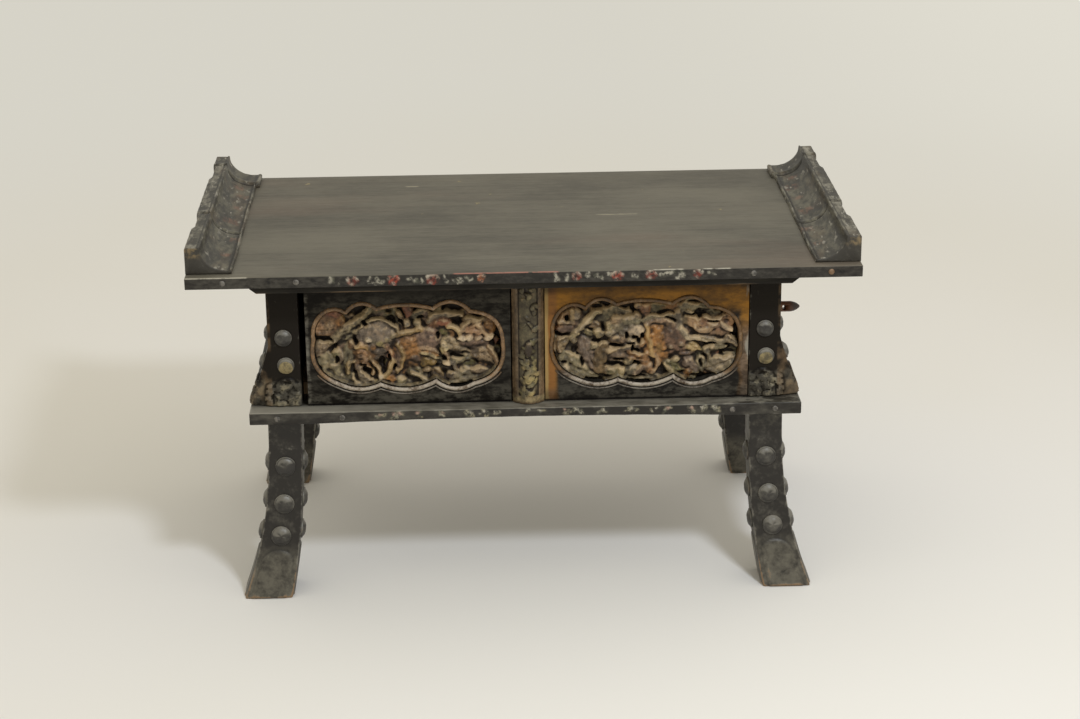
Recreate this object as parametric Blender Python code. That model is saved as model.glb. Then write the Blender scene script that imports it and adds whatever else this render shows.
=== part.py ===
"""Low reading table of black lacquered wood with two carved drawers.

Metres, +Z up, front towards -Y, origin on the floor under the middle of the top.
Each physical piece is one named object. The drawers hang on one empty each, and slide along Y.
"""
import math

import bmesh
import bpy
from mathutils import Matrix, Vector
from mathutils.geometry import delaunay_2d_cdt, intersect_point_line, tessellate_polygon

# Fits
GAP = 0.0003
HOLE_CLEARANCE = 0.0003
DRAWER_SIDE_CLEARANCE = 0.0008
DRAWER_LIFT = 0.0004
GUIDE_CLEARANCE = 0.0006

# Top board and the rails under it
TOP_WIDTH = 0.600
TOP_DEPTH = 0.330
TOP_THICKNESS = 0.0105
TOP_HEIGHT = 0.3145
TOP_EDGE_ROUND = 0.0012
RAIL_HALF_LENGTH = 0.244
RAIL_THICKNESS = 0.0057
RAIL_SETBACK = 0.004
RAIL_END_BEVEL = 0.006
RAIL_END_EDGE = 0.001
RAIL_SIDE_WIDTH = 0.040

# Brush stops on the ends of the top
STOP_WIDTH = 0.041
STOP_HEIGHT = 0.0245
STOP_FLAT = 0.013
STOP_LIP = 0.004
STOP_STEP = 0.0016
STOP_FRONT_SETBACK = 0.011
STOP_BACK_SETBACK = 0.005
STOP_BAND = 0.034
STOP_NECK = 0.050
STOP_SHOULDER = 0.0064
STOP_COVE_STEPS = 4
STOP_WAIST = 0.002
STOP_GROOVE_Y = -0.042
STOP_GROOVE = 0.0012

# Shelf that carries the drawers
SHELF_HALF_WIDTH = 0.251
SHELF_SETBACK = 0.015
SHELF_THICKNESS = 0.0115
SHELF_HEIGHT = 0.1804
SHELF_ARCH = 0.003
SHELF_ARCH_HALF = 0.196
SHELF_ARCH_STEPS = 12

# Upper posts between the shelf and the rails
POST_INNER = 0.204
POST_WIDTH = 0.0285
POST_DEPTH = 0.030
POST_SETBACK = 0.032
POST_FLARE = 0.0185
POST_FLARE_HEIGHT = 0.058
POST_FLARE_POWER = 1.1
POST_FLARE_STATIONS = 4

# Lower legs, which curve out to the feet
LEG_INNER = 0.2055
LEG_WIDTH = 0.0305
FOOT_FLARE_OUT = 0.027
FOOT_FLARE_IN = 0.0135
FOOT_FLARE_FRONT = 0.026
FOOT_FLARE_BACK = 0.013
FOOT_FLARE_POWER = 2.5
LEG_STATIONS = 12
LEG_STATION_SPREAD = 1.4
TENON = 0.014
LEG_TENON_IN_POST = 0.008

# Round bosses carved on the posts and legs
POST_BOSS_RADIUS = 0.0078
LEG_BOSS_RADIUS = 0.0092
BOSS_RIM = 0.0016
BOSS_RISE = 0.0042
BOSS_ROOT = 0.003
BOSS_SIDES = 12
POST_BOSS_HEIGHTS = (0.2465, 0.2185)
LEG_BOSS_HEIGHTS = (0.122, 0.086, 0.056)

# Case around the drawers
PANEL_THICKNESS = 0.012
PANEL_INSET = 0.0015
BACK_THICKNESS = 0.010
BACK_INSET = 0.002
PARTITION_THICKNESS = 0.012
GUIDE_WIDTH = 0.008
GUIDE_HEIGHT = 0.012
STRUT_SHIFT = 0.00275
STRUT_WIDTH = 0.029
STRUT_DEPTH = 0.015
STRUT_BOW = 0.009
STRUT_MOULDING = 0.005
STRUT_RECESS = 0.0016
STRUT_PLINTH = 0.006

# Drawers
DRAWER_BACK_ROOM = 0.011
DRAWER_HEAD_CLEARANCE = 0.0015
FRONT_THICKNESS = 0.014
LEFT_DRAWER_GAP = 0.0012
FRAME_SIDE = 0.009
FRAME_BOTTOM = 0.0153
FRAME_TOP = 0.0203
BEAD_WIDTH = 0.0036
BEAD_RISE = 0.0016
BEAD_SLOPE = 0.0011
ARC_STEPS = 5
PANEL_BACK_THICKNESS = 0.006
CARVING_CLEARANCE = 0.0008
CARVING_FLOOR = 0.002
CARVING_GRID = 0.0055
DRAWER_WALL = 0.007
DRAWER_WALL_DROP = 0.0197
DRAWER_BOTTOM_THICKNESS = 0.005

# Nails in the front edges and the peg in the right end
NAIL_HEAD_RADIUS = 0.0026
NAIL_HEAD_RISE = 0.0012
NAIL_SHANK_RADIUS = 0.001
NAIL_LENGTH = 0.008
NAIL_SIDES = 8
TOP_NAILS = (-0.267, -0.202, 0.203, 0.272)
SHELF_NAILS = (-0.226, -0.167, 0.188, 0.227)
PEG_HEIGHT = 0.222
PEG_SHANK_RADIUS = 0.0038
PEG_BODY_RADIUS = 0.0051
PEG_REACH = 0.038
PEG_NECK = 0.0205
PEG_SHANK = 0.011
PEG_TIP = 0.008
PEG_TIP_RADIUS = 0.0036
PEG_EYE = 0.003
PEG_EYE_HEIGHT = 0.005
PEG_SIDES = 12

# Levels and places that follow from the sizes above
TOP_UNDER = TOP_HEIGHT - TOP_THICKNESS
RAIL_TOP = TOP_UNDER - GAP
RAIL_UNDER = RAIL_TOP - RAIL_THICKNESS
RAIL_FRONT = TOP_DEPTH / 2 - RAIL_SETBACK
SHELF_DEPTH = TOP_DEPTH - 2 * SHELF_SETBACK
POST_FRONT = TOP_DEPTH / 2 - POST_SETBACK
POST_BACK = POST_FRONT - POST_DEPTH
POST_OUTER = POST_INNER + POST_WIDTH
POST_FOOT = SHELF_HEIGHT + GAP
POST_HEAD = RAIL_UNDER - GAP
SHELF_UNDER = SHELF_HEIGHT - SHELF_THICKNESS
LEG_HEAD = SHELF_UNDER - GAP
LEG_OUTER = LEG_INNER + LEG_WIDTH
LEG_X = LEG_INNER + LEG_WIDTH / 2
POST_X = POST_INNER + POST_WIDTH / 2
JOINT_Y = (POST_FRONT + POST_BACK) / 2
SOCKET = TENON + 2 * HOLE_CLEARANCE
STRUT_LEFT = STRUT_SHIFT - STRUT_WIDTH / 2
STRUT_RIGHT = STRUT_SHIFT + STRUT_WIDTH / 2
DRAWER_WIDTH = POST_INNER - STRUT_RIGHT - 2 * DRAWER_SIDE_CLEARANCE
DRAWER_FOOT = SHELF_HEIGHT + DRAWER_LIFT
DRAWER_HEIGHT = RAIL_UNDER - DRAWER_HEAD_CLEARANCE - DRAWER_FOOT
DRAWER_WALL_HEIGHT = DRAWER_HEIGHT - DRAWER_WALL_DROP
LEFT_DRAWER_X = STRUT_LEFT - LEFT_DRAWER_GAP - DRAWER_WIDTH / 2
RIGHT_DRAWER_X = STRUT_RIGHT + DRAWER_SIDE_CLEARANCE + DRAWER_WIDTH / 2
CARTOUCHE_HALF_WIDTH = DRAWER_WIDTH / 2 - FRAME_SIDE
CARTOUCHE_HALF_HEIGHT = (DRAWER_HEIGHT - FRAME_BOTTOM - FRAME_TOP) / 2
CARTOUCHE_MIDDLE = FRAME_BOTTOM + CARTOUCHE_HALF_HEIGHT
CARVING_BACK = FRONT_THICKNESS + GAP
CASE_BACK = POST_FRONT - BACK_INSET - BACK_THICKNESS
DRAWER_LENGTH = POST_FRONT + CASE_BACK - DRAWER_BACK_ROOM

SIDES = {"left": -1, "right": 1}
ENDS = {"front": -1, "back": 1}

# Colour, roughness and metallic value of each finish
FINISHES = {
    "worn_lacquer": ((0.095, 0.085, 0.072), 0.55, 0.0),
    "black_lacquer": ((0.022, 0.020, 0.018), 0.45, 0.0),
    "brown_lacquer": ((0.090, 0.050, 0.025), 0.50, 0.0),
    "carved_colour": ((0.130, 0.115, 0.085), 0.60, 0.0),
    "bare_wood": ((0.300, 0.200, 0.110), 0.70, 0.0),
    "red_brown": ((0.110, 0.040, 0.018), 0.50, 0.0),
    "iron": ((0.110, 0.090, 0.075), 0.50, 0.8),
}

# Lobed outline of the drawer opening, drawn on a half size of 86 by 42:
# a corner, then the rise of the arc after it
DRAWN_HALF_WIDTH = 86
DRAWN_HALF_HEIGHT = 42
DRAWN_DEPTH = 14
CARTOUCHE = (
    (-57, 31.5, 8.0), (-29, 35.5, 4.2), (24, 35.0, 8.4), (57, 32.0, 10.2), (86, 0.0, 10.2), (60, -37.0, 6.5),
    (25, -33.5, 7.0), (-27, -36.0, 4.8), (-64, -35.5, 10.5), (-86, 8.0, 3.0), (-79, 31.5, 5.0),
)

# Main forms of the lion and peony carving on the same drawing: start, end, half width and height
CARVING = (
    (-73, 23, -73, 17, 11, 10), (-69, 6, -46, 28, 5, 7), (-82, -9, -72, 3, 7, 6),
    (-58, 10, -56, -14, 7, 7), (-78, -14, -58, -33, 9, 7), (-24, 6, -24, 6, 17.5, 12.5),
    (-26, -8, -26, -8, 13, 11.5), (-27, -12, -27, -24, 9, 9), (-46, -36, -40, -30, 5, 7),
    (-24, -32, -15, -32, 6, 9), (-4, 3, 12, 3, 15, 10.5), (18, 4, 18, 4, 11, 11.5),
    (-4, -10, -8, -26, 5, 9), (12, -10, 22, -14, 7, 9), (32, 6, 34, -12, 6, 9),
    (52, 6, 72, 6, 11, 11), (54, 20, 72, 18, 7, 9), (26, 22, 38, 24, 7, 9),
    (40, -1, 54, -8, 6, 8), (66, -10, 78, -18, 7, 8), (46, -28, 72, -30, 8, 7),
    (46, -14, 56, -18, 6, 7), (8, -28, 22, -36, 6, 7), (-12, -37, 2, -37, 5, 5),
    (0, 38, 0, 25, 7, 8), (8, 24, 18, 30, 6, 6), (-32, 31, -12, 30, 5, 6),
)


def clear_scene():
    for obj in list(bpy.data.objects):
        bpy.data.objects.remove(obj, do_unlink=True)


def make_material(name, finish):
    colour, roughness, metallic = FINISHES[finish]
    material = bpy.data.materials.new(name)
    material.use_nodes = True
    shader = material.node_tree.nodes["Principled BSDF"]
    shader.inputs["Base Color"].default_value = (*colour, 1.0)
    shader.inputs["Roughness"].default_value = roughness
    shader.inputs["Metallic"].default_value = metallic
    return material


def link_mesh(name, bm):
    bmesh.ops.recalc_face_normals(bm, faces=bm.faces)
    mesh = bpy.data.meshes.new(name)
    bm.to_mesh(mesh)
    bm.free()
    obj = bpy.data.objects.new(name, mesh)
    bpy.context.scene.collection.objects.link(obj)
    return obj


def piece(name, bm, finish, location=(0.0, 0.0, 0.0), parent=None, smooth=False):
    """One sub-part: its mesh, its own material and its place."""
    obj = link_mesh(name, bm)
    obj.data.materials.append(make_material(name, finish))
    obj.location = location
    obj.parent = parent
    if smooth:
        obj.data.shade_smooth()
        obj.data.set_sharp_from_angle(angle=math.radians(35))
    return obj


def combine(obj, bm, operation):
    """Cut the shapes in bm, in the piece's own coordinates, out of a piece, or fuse them with it."""
    guide = link_mesh(obj.name + "_" + operation.lower(), bm)
    guide.parent = obj
    guide.hide_render = True
    guide.display_type = "WIRE"
    boolean = obj.modifiers.new(operation.lower(), "BOOLEAN")
    boolean.operation = operation
    boolean.solver = "EXACT"
    boolean.object = guide


def cut(obj, bm):
    combine(obj, bm, "DIFFERENCE")


def add_box(bm, low, high):
    low = Vector(low)
    high = Vector(high)
    place = Matrix.Translation((low + high) / 2) @ Matrix.Diagonal((*(high - low), 1.0))
    bmesh.ops.create_cube(bm, size=1.0, matrix=place)


def board(name, low, high, finish, parent=None, edge_round=0.0):
    """A rectangular board between two corners, with its origin in its middle."""
    middle = (Vector(low) + Vector(high)) / 2
    bm = bmesh.new()
    add_box(bm, Vector(low) - middle, Vector(high) - middle)
    if edge_round > 0:
        bmesh.ops.bevel(bm, geom=bm.edges, offset=edge_round, segments=2, profile=0.5,
                        affect="EDGES", material=-1)
    return piece(name, bm, finish, middle, parent)


def loft(rings):
    """A closed body drawn out from the first ring of points to the last."""
    bm = bmesh.new()
    first = face = bm.faces.new([bm.verts.new(point) for point in rings[0]])
    for before, ring in zip(rings, rings[1:]):
        grown = bmesh.ops.extrude_face_region(bm, geom=[face])["geom"]
        if face is not first:
            bmesh.ops.delete(bm, geom=[face], context="FACES_ONLY")
        face = next(item for item in grown if isinstance(item, bmesh.types.BMFace))
        for vert in face.verts:
            nearest = min(range(len(before)), key=lambda i: (vert.co - Vector(before[i])).length)
            vert.co = ring[nearest]
    return bm


def rectangle(x0, x1, y0, y1, z):
    return [(x0, y0, z), (x1, y0, z), (x1, y1, z), (x0, y1, z)]


def square(x, y, size, z):
    half = size / 2
    return rectangle(x - half, x + half, y - half, y + half, z)


def add_turned(bm, profile, sides, place):
    """A turned body: profile points (radius, height) spun about the place's own Z axis."""
    verts = [bm.verts.new(place @ Vector((radius, 0.0, height))) for radius, height in profile]
    edges = [bm.edges.new(pair) for pair in zip(verts, verts[1:])]
    before = set(bm.verts) - set(verts)
    axis = place.to_3x3() @ Vector((0.0, 0.0, 1.0))
    bmesh.ops.spin(bm, geom=verts + edges, cent=place.translation, axis=axis,
                   angle=2 * math.pi, steps=sides, use_merge=True)
    bmesh.ops.remove_doubles(bm, verts=[vert for vert in bm.verts if vert not in before], dist=1e-6)


def facing(point, normal):
    """A frame at a point whose Z axis is the normal."""
    turn = Vector(normal).to_track_quat("Z", "Y").to_matrix().to_4x4()
    return Matrix.Translation(point) @ turn


# Top board, rails and brush stops

def make_top_board():
    end = TOP_WIDTH / 2
    edge = TOP_DEPTH / 2
    top = board("top_board", (-end, -edge, TOP_UNDER), (end, edge, TOP_HEIGHT),
                "worn_lacquer", edge_round=TOP_EDGE_ROUND)
    cut(top, nail_holes(TOP_NAILS, -edge, 0.0))


def make_rails():
    """Thin rails under the top: long ones at the front and back with bevelled ends, short ones between."""
    for end, sign in ENDS.items():
        short = RAIL_HALF_LENGTH - RAIL_END_BEVEL
        outline = [(-RAIL_HALF_LENGTH, RAIL_TOP), (RAIL_HALF_LENGTH, RAIL_TOP),
                   (RAIL_HALF_LENGTH, RAIL_TOP - RAIL_END_EDGE), (short, RAIL_UNDER),
                   (-short, RAIL_UNDER), (-RAIL_HALF_LENGTH, RAIL_TOP - RAIL_END_EDGE)]
        outside = sign * RAIL_FRONT
        inside = sign * POST_BACK
        bm = loft([[(x, outside, z) for x, z in outline], [(x, inside, z) for x, z in outline]])
        rail = piece("under_rail_" + end, bm, "black_lacquer")
        sockets = bmesh.new()
        for x in (-POST_X, POST_X):
            add_box(sockets, (x - SOCKET / 2, sign * JOINT_Y - SOCKET / 2, RAIL_UNDER - TENON),
                    (x + SOCKET / 2, sign * JOINT_Y + SOCKET / 2, RAIL_TOP + TENON))
        cut(rail, sockets)
    for side, sign in SIDES.items():
        outer = sign * (RAIL_HALF_LENGTH - RAIL_END_BEVEL)
        inner = outer - sign * RAIL_SIDE_WIDTH
        board("under_rail_" + side, (min(inner, outer), -POST_BACK + GAP, RAIL_UNDER),
              (max(inner, outer), POST_BACK - GAP, RAIL_TOP), "black_lacquer")


def stop_section(y, waist, groove):
    """Section of a brush stop across X, from the outer edge over the flat and down the cove to the lip."""
    base = TOP_HEIGHT + GAP
    crown = TOP_HEIGHT + STOP_HEIGHT - groove
    outer = TOP_WIDTH / 2 - waist
    inner = TOP_WIDTH / 2 - STOP_WIDTH
    shoulder = TOP_WIDTH / 2 - STOP_FLAT
    points = [(outer, base), (outer, crown - STOP_STEP), (outer - STOP_STEP, crown), (shoulder, crown)]
    drop = crown - STOP_STEP - TOP_HEIGHT - STOP_LIP
    reach = shoulder - inner
    for step in range(STOP_COVE_STEPS + 1):
        turn = math.radians(90) * step / STOP_COVE_STEPS
        points.append((shoulder - reach * (1 - math.cos(turn)), crown - STOP_STEP - drop * math.sin(turn)))
    points.append((inner, base))
    return [(x, y, z) for x, z in points]


def make_brush_stops():
    front = -TOP_DEPTH / 2 + STOP_FRONT_SETBACK
    back = TOP_DEPTH / 2 - STOP_BACK_SETBACK
    band = back - STOP_BAND
    stations = [(front, 0.0, 0.0), (STOP_GROOVE_Y - STOP_NECK, 0.0, 0.0),
                (STOP_GROOVE_Y - STOP_NECK + STOP_SHOULDER, STOP_WAIST, 0.0),
                (STOP_GROOVE_Y - STOP_STEP, STOP_WAIST / 2, 0.0),
                (STOP_GROOVE_Y, STOP_WAIST / 2, STOP_GROOVE),
                (STOP_GROOVE_Y + STOP_STEP, 0.0, 0.0), (band - STOP_NECK, 0.0, 0.0),
                (band - STOP_NECK + STOP_SHOULDER, STOP_WAIST, 0.0),
                (band - STOP_STEP, STOP_WAIST / 2, 0.0), (band, STOP_WAIST / 2, STOP_GROOVE),
                (band + STOP_STEP, 0.0, 0.0), (back, 0.0, 0.0)]
    for side, sign in SIDES.items():
        rings = [[(sign * x, y, z) for x, y, z in stop_section(*station)] for station in stations]
        piece("brush_stop_" + side, loft(rings), "worn_lacquer")


# Shelf, posts and legs

def make_shelf():
    half = SHELF_DEPTH / 2
    outline = [(SHELF_HALF_WIDTH, SHELF_UNDER), (SHELF_HALF_WIDTH, SHELF_HEIGHT),
               (-SHELF_HALF_WIDTH, SHELF_HEIGHT), (-SHELF_HALF_WIDTH, SHELF_UNDER)]
    for step in range(SHELF_ARCH_STEPS + 1):
        share = step / SHELF_ARCH_STEPS
        outline.append((SHELF_ARCH_HALF * (2 * share - 1),
                        SHELF_UNDER + SHELF_ARCH * math.sin(math.pi * share)))
    bm = loft([[(x, -half, z) for x, z in outline], [(x, half, z) for x, z in outline]])
    shelf = piece("shelf_board", bm, "black_lacquer")
    holes = nail_holes(SHELF_NAILS, -half, (SHELF_HEIGHT + SHELF_UNDER) / 2)
    for x in (-LEG_X, LEG_X):
        for y in (-JOINT_Y, JOINT_Y):
            add_box(holes, (x - SOCKET / 2, y - SOCKET / 2, SHELF_UNDER - TENON),
                    (x + SOCKET / 2, y + SOCKET / 2, SHELF_HEIGHT + TENON))
    cut(shelf, holes)


def post_flare(z):
    """How far the outer face of a post stands out at a height."""
    left = 1 - (z - POST_FOOT) / POST_FLARE_HEIGHT
    return POST_FLARE * max(left, 0.0) ** POST_FLARE_POWER


def foot_flare(z):
    """Share of the foot's full flare at a height."""
    return ((LEG_HEAD - z) / LEG_HEAD) ** FOOT_FLARE_POWER


def slope(curve, z):
    step = 0.0005
    return (curve(z + step) - curve(z - step)) / (2 * step)


def leg_faces():
    """Each faced side of the front right leg: a point on it and its normal, for a height."""
    def middle_x(z):
        return LEG_X + foot_flare(z) * (FOOT_FLARE_OUT + FOOT_FLARE_IN) / 2

    def middle_y(z):
        return -JOINT_Y - foot_flare(z) * (FOOT_FLARE_FRONT + FOOT_FLARE_BACK) / 2

    def outer(z):
        return LEG_OUTER + foot_flare(z) * FOOT_FLARE_OUT

    def inner(z):
        return LEG_INNER + foot_flare(z) * FOOT_FLARE_IN

    def front(z):
        return -POST_FRONT - foot_flare(z) * FOOT_FLARE_FRONT

    return [lambda z: ((middle_x(z), front(z), z), (0.0, -1.0, slope(front, z))),
            lambda z: ((outer(z), middle_y(z), z), (1.0, 0.0, -slope(outer, z))),
            lambda z: ((inner(z), middle_y(z), z), (-1.0, 0.0, slope(inner, z)))]


def post_faces():
    def outer(z):
        return POST_OUTER + post_flare(z)

    return [lambda z: ((POST_X, -POST_FRONT, z), (0.0, -1.0, 0.0)),
            lambda z: ((outer(z), -JOINT_Y, z), (1.0, 0.0, -slope(outer, z)))]


def boss_seats(faces, heights, mirror):
    """Frames of a leg's bosses, moved from the front right corner to the leg's own corner."""
    seats = []
    for face in faces:
        for z in heights:
            point, normal = face(z)
            seats.append(facing(mirror @ Vector(point), mirror @ Vector(normal)))
    return seats


def carve_bosses(owner, seats, radius):
    """Low domes with a rim, carved in one with the post or leg that they stand on."""
    profile = [(0.0, -BOSS_ROOT), (radius, -BOSS_ROOT), (radius, BOSS_RIM),
               (radius / 2, BOSS_RISE), (0.0, BOSS_RISE)]
    bosses = bmesh.new()
    for seat in seats:
        add_turned(bosses, profile, BOSS_SIDES, seat)
    combine(owner, bosses, "UNION")


def make_corner(end, side):
    """One post with its lower leg, drawn at the front right and mirrored to its corner."""
    mirror = Matrix.Diagonal((SIDES[side], -ENDS[end], 1.0))

    def placed(rings):
        return [[mirror @ Vector(point) for point in ring] for ring in rings]

    def post_ring(z):
        return rectangle(POST_INNER, POST_OUTER + post_flare(z), -POST_FRONT, -POST_BACK, z)

    def leg_ring(z):
        share = foot_flare(z)
        return rectangle(LEG_INNER + share * FOOT_FLARE_IN, LEG_OUTER + share * FOOT_FLARE_OUT,
                         -POST_FRONT - share * FOOT_FLARE_FRONT, -POST_BACK - share * FOOT_FLARE_BACK, z)

    corner = end + "_" + side
    socket_top = SHELF_HEIGHT + LEG_TENON_IN_POST + GAP
    heights = [POST_FOOT + POST_FLARE_HEIGHT * step / POST_FLARE_STATIONS
               for step in range(POST_FLARE_STATIONS + 1)]
    rings = [square(LEG_X, -JOINT_Y, SOCKET, socket_top), square(LEG_X, -JOINT_Y, SOCKET, POST_FOOT)]
    rings += [post_ring(z) for z in heights + [POST_HEAD]]
    rings += [square(POST_X, -JOINT_Y, TENON, POST_HEAD), square(POST_X, -JOINT_Y, TENON, RAIL_TOP)]
    post = piece("upper_post_" + corner, loft(placed(rings)), "black_lacquer")
    carve_bosses(post, boss_seats(post_faces(), POST_BOSS_HEIGHTS, mirror), POST_BOSS_RADIUS)

    rings = [leg_ring(LEG_HEAD * (step / LEG_STATIONS) ** LEG_STATION_SPREAD)
             for step in range(LEG_STATIONS + 1)]
    rings += [square(LEG_X, -JOINT_Y, TENON, LEG_HEAD),
              square(LEG_X, -JOINT_Y, TENON, SHELF_HEIGHT + LEG_TENON_IN_POST)]
    leg = piece("lower_leg_" + corner, loft(placed(rings)), "black_lacquer")
    carve_bosses(leg, boss_seats(leg_faces(), LEG_BOSS_HEIGHTS, mirror), LEG_BOSS_RADIUS)


# Case between the shelf and the top

def make_case():
    span = POST_BACK - GAP
    for side, sign in SIDES.items():
        outer = sign * (POST_OUTER - PANEL_INSET)
        inner = outer - sign * PANEL_THICKNESS
        panel = board("end_panel_" + side, (min(inner, outer), -span, POST_FOOT),
                      (max(inner, outer), span, POST_HEAD), "black_lacquer")
        if side == "right":
            cut(panel, peg_hole(panel.location))
    board("back_panel", (-POST_INNER + GAP, CASE_BACK, POST_FOOT),
          (POST_INNER - GAP, CASE_BACK + BACK_THICKNESS, POST_HEAD), "black_lacquer")
    half = PARTITION_THICKNESS / 2
    strut_back = -POST_FRONT + STRUT_DEPTH
    board("centre_partition", (STRUT_SHIFT - half, strut_back + GAP, POST_FOOT),
          (STRUT_SHIFT + half, CASE_BACK - GAP, POST_HEAD), "bare_wood")


def make_guides():
    """Strips on the shelf that keep the drawers straight."""
    reach = POST_BACK - GAP
    side_of_wall = PARTITION_THICKNESS / 2 + GAP
    strips = {
        "drawer_guide_left_outer": (LEFT_DRAWER_X - DRAWER_WIDTH / 2 - GUIDE_CLEARANCE - GUIDE_WIDTH,
                                    LEFT_DRAWER_X - DRAWER_WIDTH / 2 - GUIDE_CLEARANCE),
        "drawer_guide_left_inner": (LEFT_DRAWER_X + DRAWER_WIDTH / 2 + GUIDE_CLEARANCE,
                                    STRUT_SHIFT - side_of_wall),
        "drawer_guide_right_inner": (STRUT_SHIFT + side_of_wall,
                                     RIGHT_DRAWER_X - DRAWER_WIDTH / 2 - GUIDE_CLEARANCE),
        "drawer_guide_right_outer": (RIGHT_DRAWER_X + DRAWER_WIDTH / 2 + GUIDE_CLEARANCE,
                                     RIGHT_DRAWER_X + DRAWER_WIDTH / 2 + GUIDE_CLEARANCE + GUIDE_WIDTH),
    }
    for name, (x0, x1) in strips.items():
        board(name, (x0, -reach, POST_FOOT), (x1, reach, POST_FOOT + GUIDE_HEIGHT), "bare_wood")


def make_strut():
    """Upright between the drawers: a bowed front with side mouldings, a sunk panel and a plinth."""
    half = STRUT_WIDTH / 2
    inside = half - STRUT_MOULDING

    def ring(z, recess):
        def bowed(x, back):
            return (STRUT_SHIFT + x, -POST_FRONT - STRUT_BOW * (1 - (x / half) ** 2) + back, z)

        back = -POST_FRONT + STRUT_DEPTH
        front = [bowed(-half, 0.0), bowed(-inside - STRUT_RECESS / 2, 0.0)]
        front += [bowed(inside * share, recess) for share in (-1.0, -0.5, 0.0, 0.5, 1.0)]
        front += [bowed(inside + STRUT_RECESS / 2, 0.0), bowed(half, 0.0)]
        return [(STRUT_LEFT, back, z)] + front + [(STRUT_RIGHT, back, z)]

    plinth_top = POST_FOOT + STRUT_PLINTH
    panel_foot = plinth_top + STRUT_RECESS
    rings = [ring(POST_FOOT, 0.0), ring(plinth_top, 0.0), ring(panel_foot, STRUT_RECESS),
             ring(POST_HEAD, STRUT_RECESS)]
    piece("centre_strut", loft(rings), "brown_lacquer")


# Drawers

def cartouche(grow):
    """Points round the lobed opening, in the drawer front's plane, moved outwards by grow."""
    stretch = Vector((CARTOUCHE_HALF_WIDTH / DRAWN_HALF_WIDTH, CARTOUCHE_HALF_HEIGHT / DRAWN_HALF_HEIGHT))
    points = []
    for (x0, z0, rise), (x1, z1, _) in zip(CARTOUCHE, CARTOUCHE[1:] + CARTOUCHE[:1]):
        start = Vector((x0, z0))
        chord = Vector((x1, z1)) - start
        outward = Vector((-chord.y, chord.x)).normalized()
        for step in range(ARC_STEPS):
            share = step / ARC_STEPS
            point = start + chord * share + outward * rise * 4 * share * (1 - share)
            points.append(Vector((point.x * stretch.x, point.y * stretch.y)))
    moved = []
    for before, point, after in zip(points[-1:] + points[:-1], points, points[1:] + points[:1]):
        along = (after - before).normalized()
        moved.append(point + Vector((-along.y, along.x)) * grow)
    return moved


def carving_height(u, w):
    """Height of the carving above its back at a point of the drawing."""
    height = CARVING_FLOOR
    for u0, w0, u1, w1, half_width, rise in CARVING:
        spot = Vector((u, w))
        start = Vector((u0, w0))
        end = Vector((u1, w1))
        nearest = start
        if start != end:
            share = intersect_point_line(spot, start, end)[1]
            nearest = start.lerp(end, min(max(share, 0.0), 1.0))
        away = (spot - nearest).length / half_width
        if away < 1:
            dome = math.sqrt(1 - away * away)
            height = max(height, CARVING_FLOOR + rise / DRAWN_DEPTH * FRONT_THICKNESS * dome)
    return height


def ring_of_verts(bm, outline, y):
    return [bm.verts.new((point.x, y, CARTOUCHE_MIDDLE + point.y)) for point in outline]


def front_outline(inset):
    """Rectangle of the drawer front, with its origin in the middle of the cartouche."""
    half = DRAWER_WIDTH / 2 - inset
    low = -CARTOUCHE_MIDDLE + inset
    high = DRAWER_HEIGHT - CARTOUCHE_MIDDLE - inset
    return [Vector((-half, low)), Vector((half, low)), Vector((half, high)), Vector((-half, high))]


def fill_round(bm, outer, hole):
    """Fill between a rectangle of verts and a loop of verts inside it."""
    verts = outer + hole
    flat = [[vert.co.xz.to_3d() for vert in loop] for loop in (outer, hole)]
    for corners in tessellate_polygon(flat):
        bm.faces.new([verts[i] for i in corners])


def bridge(bm, low, high):
    for i in range(len(low)):
        j = (i + 1) % len(low)
        bm.faces.new((low[i], low[j], high[j], high[i]))


def make_drawer_front(name, parent):
    """Front board with the lobed opening and a raised bead round it."""
    bm = bmesh.new()
    bead = ((BEAD_WIDTH, 0.0), (BEAD_WIDTH - BEAD_SLOPE, -BEAD_RISE), (BEAD_SLOPE, -BEAD_RISE), (0.0, 0.0))
    loops = [ring_of_verts(bm, cartouche(grow), y) for grow, y in bead]
    loops.append(ring_of_verts(bm, cartouche(0.0), FRONT_THICKNESS))
    face = ring_of_verts(bm, front_outline(0.0), 0.0)
    back = ring_of_verts(bm, front_outline(0.0), FRONT_THICKNESS)
    fill_round(bm, face, loops[0])
    fill_round(bm, back, loops[-1])
    bridge(bm, face, back)
    for low, high in zip(loops, loops[1:]):
        bridge(bm, low, high)
    piece(name, bm, "brown_lacquer", parent=parent)


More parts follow.
